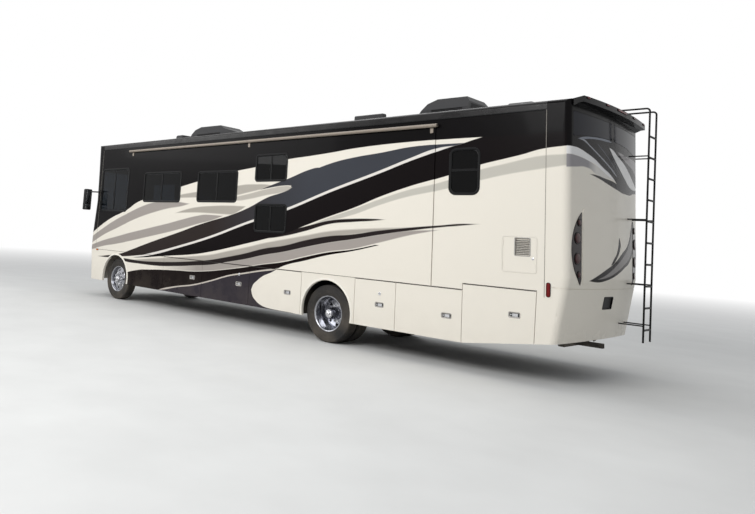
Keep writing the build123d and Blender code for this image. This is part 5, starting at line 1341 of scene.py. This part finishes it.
roofSizes = {
    # station, y, length, width, height above the roof's crown
    "lids": ((wheelbase - 3.65, 0, 0.4, 0.4, 0.09), (0.7, -0.45, 0.36, 0.36, 0.09),
             (-2.9, 0.45, 0.4, 0.4, 0.11), (wheelbase - 1.05, 0.3, 0.26, 0.42, 0.19),
             (-0.04, 0.35, 0.64, 0.12, 0.21), (wheelbase - 0.2, -0.5, 0.38, 0.38, 0.09)),
    "crown": 3.745, "lidSink": 0.004, "slatPitch": 0.023,
    "sideSlats": 6, "sideTop": 3.915, "sideRuns": ((wheelbase - 3.07 + 0.72, 0.80), (-1.94 + 0.10, 0.56)),
    "acHalf": 0.36, "rearFace": -1.94, "rearSlats": 9, "rearTop": 3.985, "rearHalf": 0.27,
}
seamSizes = {"width": 0.007, "railReach": 0.02, "railDrop": 0.012}


def roofLids(sizes):
    shape = Shape()
    for x, y, length, width, height in sizes["lids"]:
        narrow, place = min(length, width), onRoof(station(x), y)
        top = height + sizes["crown"] - place(0, 0, 0)[2] - sizes["lidSink"]
        ringed(shape, place, length, width, narrow * 0.12, [
            (-0.002, 0.0005), (-0.002, 0.004), (-0.010, 0.006), (-0.022, 0.006), (-0.022, 0.030),
            (-0.006, 0.033), (-0.004, 0.040), (-0.008, top * 0.75), (-narrow * 0.07, top * 0.92),
            (-narrow * 0.16, top * 0.98), (-narrow * 0.30, top)])
    finishPiece("roofLids", shape, [shroudFinish], replaced=["roof_fittings"])


def louvres(sizes):
    section = [(0, 0.0008), (-0.004, 0.006), (0.010, 0.0014), (0.012, 0.0008)]
    runs = []
    for number, (rear, length) in enumerate(sizes["sideRuns"], start=1):
        slats = Shape()
        for side in (1, -1):
            place = onSide(side, station(rear), sizes["sideTop"], sizes["acHalf"])
            slats.loft([[place(u, -v, out) for v, out in section] for u in (0, length)])
        runs.append(("sideLouvres" + str(number), slats, sizes["sideSlats"]))
    slats, x, half = Shape(), station(sizes["rearFace"]), sizes["rearHalf"]
    slats.loft([[(x - out, y, sizes["rearTop"] - v) for v, out in section] for y in (-half, half)])
    runs.append(("rearLouvres", slats, sizes["rearSlats"]))
    for name, slats, count in runs:
        mesh = repeated(name, slats, count, frameFinish, step=(0, 0, -sizes["slatPitch"]))
        finishPiece(name, mesh, [frameFinish], "coach", 30)


def seamsAndRails(sizes):
    seams, rails = Shape(), Shape()
    low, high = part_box("wall_left")
    railSection = [(0, 0.0005), (0.016, 0.0005), (0.016, 0.0025), (0.006, 0.004), (0.0035, 0.010),
                   (0.0, 0.011)]
    reach = (high.x - low.x) / 2 - sizes["railReach"]
    for side in (1, -1):
        for x in (low.x, high.x):
            place = onSide(side, x, (low.z + high.z) / 2, wallSkin)
            block(seams, place, sizes["width"], high.z - low.z - 0.02, 0.0005, 0.0025, 0.002, 0.001)
        place = onSide(side, (high.x + low.x) / 2, high.z - sizes["railDrop"], wallSkin)
        rails.loft([[place(u, v, out) for v, out in railSection] for u in (-reach, reach)])
    finishPiece("capSeams", seams, [sealFinish], "coach", 30)
    finishPiece("dripRails", rails, [frameFinish], "coach", 30)


roofLids(roofSizes)
louvres(roofSizes)
seamsAndRails(seamSizes)
print("roof dressed")

# Ladder treads and hub covers

ladderSizes = {
    "low": 0.53, "high": 3.85, "foot": -4.119, "head": -4.219, "first": 0.17, "pitch": 0.305, "count": 10,
    "treadHalf": 0.118, "treadRadius": 0.0152, "grip": 0.0014, "y": -0.8,
}
hubSizes = {
    "profile": ((0.001, 0.058), (0.010, 0.060), (0.0125, 0.057), (0.0125, 0.036), (0.030, 0.033),
                (0.036, 0.026), (0.038, 0.012), (0.038, 0.004)),
    "sink": 0.004, "probe": 0.015, "boltRadius": 0.0085,
    # nodes and body that each hub goes with, and its bolts: radius of their ring, distance out, count
    "front": ("front_tyre_", "front_rim_", "front_wheel_", (0.042, 0.0125, 5)),
    "rear": ("rear_tyres_", "rear_rims_", "rear_wheels_", (0.050, 0.0105, 8)),
}


def ladderTreads(sizes):
    slope = (sizes["head"] - sizes["foot"]) / (sizes["high"] - sizes["low"])
    x, z = station(sizes["foot"] + slope * sizes["first"]), sizes["low"] + sizes["first"]
    shape, rings = Shape(), []
    for across, grow in ((-1, -0.0035), (-0.97, 0), (0.97, 0), (1, -0.0035)):
        radii = [sizes["treadRadius"] + grow - (i % 2) * sizes["grip"] for i in range(24)]
        rings.append([(x + radius * math.cos(math.pi * i / 12), sizes["y"] + across * sizes["treadHalf"],
                       z + radius * math.sin(math.pi * i / 12)) for i, radius in enumerate(radii)])
    shape.loft(rings)
    step = (slope * sizes["pitch"], 0, sizes["pitch"])
    mesh = repeated("ladderTreads", shape, sizes["count"], plasticFinish, step=step)
    finishPiece("ladderTreads", mesh, [plasticFinish], "coach", 25)


def hubCover(kind, side, hand, sizes):
    tyreNode, rimNode, bodyName, (ring, out, count) = sizes[kind]
    name, body, hub = kind + "Hub_" + hand, bodyName + hand, middle(tyreNode + hand)
    spot = (hub.x + sizes["probe"], side * 2, hub.z + sizes["probe"])
    seat = abs(touch(rimNode + hand, spot, (0, -side, 0)).y) - sizes["sink"]
    shape = Shape()
    shape.loft(latheRings([(side * (seat + a), r) for a, r in sizes["profile"]], 48))
    finishPiece(name, shape.mesh(name, hub), [chromeFinish], body)
    bolt = Shape()
    bolt.loft([[(ring + u * s, side * (seat + out + a), v * s) for u, v in circle(sizes["boltRadius"], 6)]
               for a, s in ((0, 1), (0.007, 1), (0.009, 0.8))])
    mesh = repeatedRound(name + "Bolts", bolt, count, chromeFinish, hub)
    finishPiece(name + "Bolts", mesh, [chromeFinish], body, 30)


ladderTreads(ladderSizes)
for side, hand in hands:
    hubCover("front", side, hand, hubSizes)
    hubCover("rear", side, hand, hubSizes)
print("ladder and hubs dressed")

# Front seats: padded cushion, back and head rest on the boxes of the cab floor

seatSizes = {
    "rear": wheelbase - 0.185, "front": wheelbase + 0.295, "y": 0.8, "width": 0.50, "headWidth": 0.27,
    "boxTop": 1.4805, "cushion": 0.135, "backFoot": 1.622, "backTop": 2.10, "headTop": 2.272, "lean": -0.17,
    "armRadius": 0.017, "armLift": 0.19, "postRadius": 0.006, "postY": 0.06,
    "edgeDrop": 0.22, "voxel": 0.009, "cap": 0.022, "pressure": 4.0, "frames": 20,
}


def padRings(outline, width, crown, drop, steps=12):
    # rings across the pad from its left edge to its right, drawn in and thinned at both edges
    heart = sum((Vector((x, 0, z)) for x, z in outline), Vector()) / len(outline)
    rings = []
    for i in range(steps + 1):
        share = -math.cos(math.pi * i / steps)
        inset = 1 - drop * (1 - math.sqrt(max(1 - share ** 4, 0)))
        rings.append([(heart.x + (x - heart.x) * inset, share * width / 2,
                       heart.z + (z - heart.z) * inset * (1 + crown * (1 - share ** 2)))
                      for x, z in outline])
    return rings


def roundedOutline(corners, radius, steps=5):  # each corner becomes a quadratic curve
    outline, count = [], len(corners)
    for i in range(count):
        before, here, after = [Vector(corners[k % count]) for k in (i - 1, i, i + 1)]
        start = here + (before - here).normalized() * radius
        end = here + (after - here).normalized() * radius
        for k in range(steps + 1):
            t = k / steps
            outline.append(tuple(start * (1 - t) ** 2 + here * 2 * t * (1 - t) + end * t ** 2))
    return outline


def evaluatedMesh(holder):
    return bpy.data.meshes.new_from_object(holder.evaluated_get(bpy.context.evaluated_depsgraph_get()))


def swollenPad(shape, sizes):
    scene = bpy.context.scene
    holder = bpy.data.objects.new("padSeed", shape.mesh("padSeed"))
    scene.collection.objects.link(holder)
    net = holder.modifiers.new("net", "REMESH")
    net.mode, net.voxel_size = "VOXEL", sizes["voxel"]
    dense = evaluatedMesh(holder)
    holder.modifiers.clear()
    holder.data = dense
    start = [v.co.copy() for v in dense.vertices]
    cloth = holder.modifiers.new("cloth", "CLOTH")
    cloth.settings.use_pressure = True
    cloth.settings.uniform_pressure_force = sizes["pressure"]
    cloth.settings.effector_weights.gravity = 0
    for number in range(1, sizes["frames"] + 1):
        scene.frame_set(number)
    dense = evaluatedMesh(holder)
    holder.modifiers.clear()
    scene.frame_set(1)
    for vertex, first in zip(dense.vertices, start):  # no point swells further than the cap
        move = vertex.co - first
        if move.length > sizes["cap"]:
            vertex.co = first + move.normalized() * sizes["cap"]
    bpy.data.objects.remove(holder)
    return dense


def seatOutlines(sizes, backAt):
    rear, front, base = station(sizes["rear"]) + 0.02, station(sizes["front"]), sizes["boxTop"]
    foot, top, head = sizes["backFoot"], sizes["backTop"], sizes["headTop"]
    thick = base + sizes["cushion"]
    cushion = [(rear, base + 0.012), (front - 0.02, base + 0.012), (front - 0.015, base + 0.105),
               (front - 0.06, thick - 0.012), (rear, thick - 0.02)]
    back = [backAt(foot, 0.0), backAt(foot, 0.098), backAt(foot + 0.16, 0.112), backAt(top - 0.02, 0.085),
            backAt(top - 0.01, 0.005)]
    rest = [backAt(top + 0.012, 0.0), backAt(top + 0.012, 0.085), backAt(head - 0.012, 0.075),
            backAt(head - 0.012, 0.012)]
    width = sizes["width"] - 0.03
    return (("seatCushion", roundedOutline(cushion, 0.035), width, 0.06, ["seats"]),
            ("seatBack", roundedOutline(back, 0.030), width, 0.0, ()),
            ("headRest", roundedOutline(rest, 0.026), sizes["headWidth"], 0.0, ()))


def frontSeats(sizes):
    rear, foot, top = station(sizes["rear"]), sizes["backFoot"], sizes["backTop"]

    def backAt(z, depth):
        return (rear + 0.02 + depth + sizes["lean"] * (z - foot), z)

    for name, outline, width, crown, replaced in seatOutlines(sizes, backAt):
        shape = Shape()
        shape.loft(padRings(outline, width, crown, sizes["edgeDrop"]))
        pad = swollenPad(shape, sizes)
        for side, hand in hands:
            mesh = pad.copy()
            mesh.transform(Matrix.Translation((0, side * sizes["y"], 0)))
            piece = finishPiece(name + "_" + hand, mesh, [leatherFinish], "coach", 180,
                                replaced)
            smooth = piece.modifiers.new("smooth", "SUBSURF")
            smooth.levels = smooth.render_levels = 1
    arms, z = Shape(), foot + sizes["armLift"]
    for side in (1, -1):
        for edge in (1, -1):
            y = side * sizes["y"] + edge * (sizes["width"] / 2 - 0.006)
            arm = [(backAt(z, 0.05)[0], y, z), (rear + 0.20, y, z + 0.010), (rear + 0.34, y, z + 0.005),
                   (rear + 0.37, y, z - 0.010)]
            tube(arms, arm, sizes["armRadius"], 10)
        for edge in (1, -1):
            y = side * sizes["y"] + edge * sizes["postY"]
            post = [backAt(end, 0.045) for end in (top - 0.03, top + 0.03)]
            tube(arms, [(x, y, height) for x, height in post], sizes["postRadius"], 8)
    finishPiece("seatArms", arms, [plasticFinish])


frontSeats(seatSizes)
print("seats built")

# Dials in the dashboard

dashSizes = {
    "x": frontSeam - 0.315, "y": 0.8, "z": 1.62, "lean": 0.709,
    "dials": ((-0.2, 0.030), (-0.1, 0.037), (0, 0.030), (0.1, 0.037), (0.2, 0.030)),  # across, radius
}


def dashDials(sizes):
    shape = Shape()
    lean = Vector((-math.sin(sizes["lean"]), 0, math.cos(sizes["lean"])))
    rise = Vector((math.cos(sizes["lean"]), 0, math.sin(sizes["lean"])))
    face = Vector((station(sizes["x"]), sizes["y"], sizes["z"]))
    spot = touch("dashboard", face + lean * 0.3, -lean)
    for y, radius in sizes["dials"]:
        def place(u, v, out):
            return tuple(spot + Vector((0, y + u, 0)) + rise * v + lean * (out + 0.0005))

        ringed(shape, place, 2 * radius, 2 * radius, radius, [
            (0, 0.0), (0, 0.014), (-0.004, 0.018), (-0.008, 0.014), (-0.009, 0.006), (-0.020, 0.005)])
        needle = shifted(place, radius * 0.3, radius * 0.2)
        block(shape, needle, radius * 0.7, 0.004, 0.005, 0.007, 0.001, 0.0006, 1)
    finishPiece("dashDials", shape, [frameFinish, amberLens])


dashDials(dashSizes)
print("dashboard dressed")

# Stage, light and camera

# fitted to marked corners of the photo; angles in degrees
cameraSizes = {
    "place": (-8.9831, 10.0323, 1.6412), "yaw": -42.7078, "pitch": 6.4852, "roll": 3.7388,
    "focalPixels": 671.73, "centrePixel": (243, 160), "imageSize": (755, 514),
}
# place, aim, size, power
lightSizes = {
    "keyLight": ((-3, 13, 8), (0, 0.5, 1.5), (9, 5), 1000),
    "fillLight": ((9, 8, 7), (3, 0, 1.5), (8, 6), 330),
    "farLight": ((4, -12, 8), (0, 0, 1.5), (8, 5), 260),
    "topLight": ((0, 0, 11), (0, 0, 0), (12, 5), 420),
}
floorSizes = {"reach": 60.0, "fade": (9.0, 34.0), "dark": tone(206, 206, 204), "light": tone(222, 222, 220)}
worldLight = {"colour": (0.93, 0.96, 1, 1), "strength": 0.48}


def softLamp(name, place, aim, size, power):
    lamp = bpy.data.lights.new(name, "AREA")
    lamp.shape, lamp.size, lamp.size_y, lamp.energy = "RECTANGLE", size[0], size[1], power
    holder = bpy.data.objects.new(name, lamp)
    holder.location = place
    holder.rotation_euler = (Vector(aim) - Vector(place)).to_track_quat("-Z", "Y").to_euler()
    bpy.context.scene.collection.objects.link(holder)


def studioFloor(sizes):
    reach = sizes["reach"]
    mesh = bpy.data.meshes.new("studioFloor")
    corners = [(-reach, -reach, 0), (reach, -reach, 0), (reach, reach, 0), (-reach, reach, 0)]
    mesh.from_pydata(corners, [], [(0, 1, 2, 3)])
    floor = bpy.data.objects.new("studioFloor", mesh)
    bpy.context.scene.collection.objects.link(floor)
    material, tree, shader, place = startMaterial("paleFloor", Specular_IOR_Level=0.1)
    grain = useGroup(tree, fineGrain, Place=place, Scale=1.2, Low=0.75, High=0.9)
    feed(tree, shader.inputs["Base Color"],
         mixColour(tree, grain.outputs["Mottle"], sizes["dark"], sizes["light"]))
    feed(tree, shader.inputs["Roughness"], grain.outputs["Value"])
    far = tree.nodes.new("ShaderNodeVectorMath")
    far.operation = "LENGTH"
    feed(tree, far.inputs[0], place)
    glow = tree.nodes.new("ShaderNodeEmission")
    seenFar = maths(tree, "MULTIPLY", mapRange(tree, far.outputs["Value"], *sizes["fade"]),
                    tree.nodes.new("ShaderNodeLightPath").outputs["Is Camera Ray"])
    blend = tree.nodes.new("ShaderNodeMixShader")  # the floor fades to the white backdrop
    for socket, source in zip(blend.inputs, (seenFar, shader.outputs[0], glow.outputs[0])):
        feed(tree, socket, source)
    feed(tree, tree.nodes["Material Output"].inputs[0], blend.outputs[0])
    mesh.materials.append(material)


def studioWorld(light):
    world = bpy.data.worlds.new("studioWorld")
    bpy.context.scene.world = world
    world.use_nodes = True
    tree = world.node_tree
    tree.nodes.clear()
    output = tree.nodes.new("ShaderNodeOutputWorld")
    seen, given = tree.nodes.new("ShaderNodeBackground"), tree.nodes.new("ShaderNodeBackground")
    seen.inputs["Color"].default_value, seen.inputs["Strength"].default_value = (1, 1, 1, 1), 1.0
    given.inputs["Color"].default_value = light["colour"]
    given.inputs["Strength"].default_value = light["strength"]
    path = tree.nodes.new("ShaderNodeLightPath")
    # white where it is seen, straight or through metal and glass; the given tone lights the coach
    shown = maths(tree, "MAXIMUM", path.outputs["Is Camera Ray"], path.outputs["Is Glossy Ray"])
    shown = maths(tree, "MAXIMUM", shown, path.outputs["Is Transmission Ray"])
    mix = tree.nodes.new("ShaderNodeMixShader")
    for socket, source in zip(mix.inputs, (shown, given.outputs[0], seen.outputs[0])):
        feed(tree, socket, source)
    feed(tree, output.inputs[0], mix.outputs[0])


def photoCamera(sizes):
    yaw, pitch, roll = [math.radians(sizes[k]) for k in ("yaw", "pitch", "roll")]
    forward = Vector((math.cos(yaw) * math.cos(pitch), math.sin(yaw) * math.cos(pitch), math.sin(pitch)))
    right = forward.cross(Vector((0, 0, 1))).normalized()
    up = right.cross(forward)
    across = math.cos(roll) * right + math.sin(roll) * up
    upward = -math.sin(roll) * right + math.cos(roll) * up
    lens = bpy.data.cameras.new("photoCamera")
    holder = bpy.data.objects.new("photoCamera", lens)
    turn = Matrix((across, upward, -forward)).transposed().to_4x4()
    holder.matrix_world = Matrix.Translation(sizes["place"]) @ turn
    bpy.context.scene.collection.objects.link(holder)
    bpy.context.scene.camera = holder
    wide, high = sizes["imageSize"]
    lens.sensor_width, lens.sensor_fit = 36.0, "HORIZONTAL"
    lens.lens = sizes["focalPixels"] / wide * lens.sensor_width
    lens.shift_x = (wide / 2 - sizes["centrePixel"][0]) / wide
    lens.shift_y = (sizes["centrePixel"][1] - high / 2) / wide
    lens.clip_start, lens.clip_end = 0.1, 400.0


studioFloor(floorSizes)
studioWorld(worldLight)
for name, (place, aim, size, power) in lightSizes.items():
    softLamp(name, place, aim, size, power)
photoCamera(cameraSizes)
bpy.context.scene.view_settings.view_transform = "Standard"
print("studio ready")
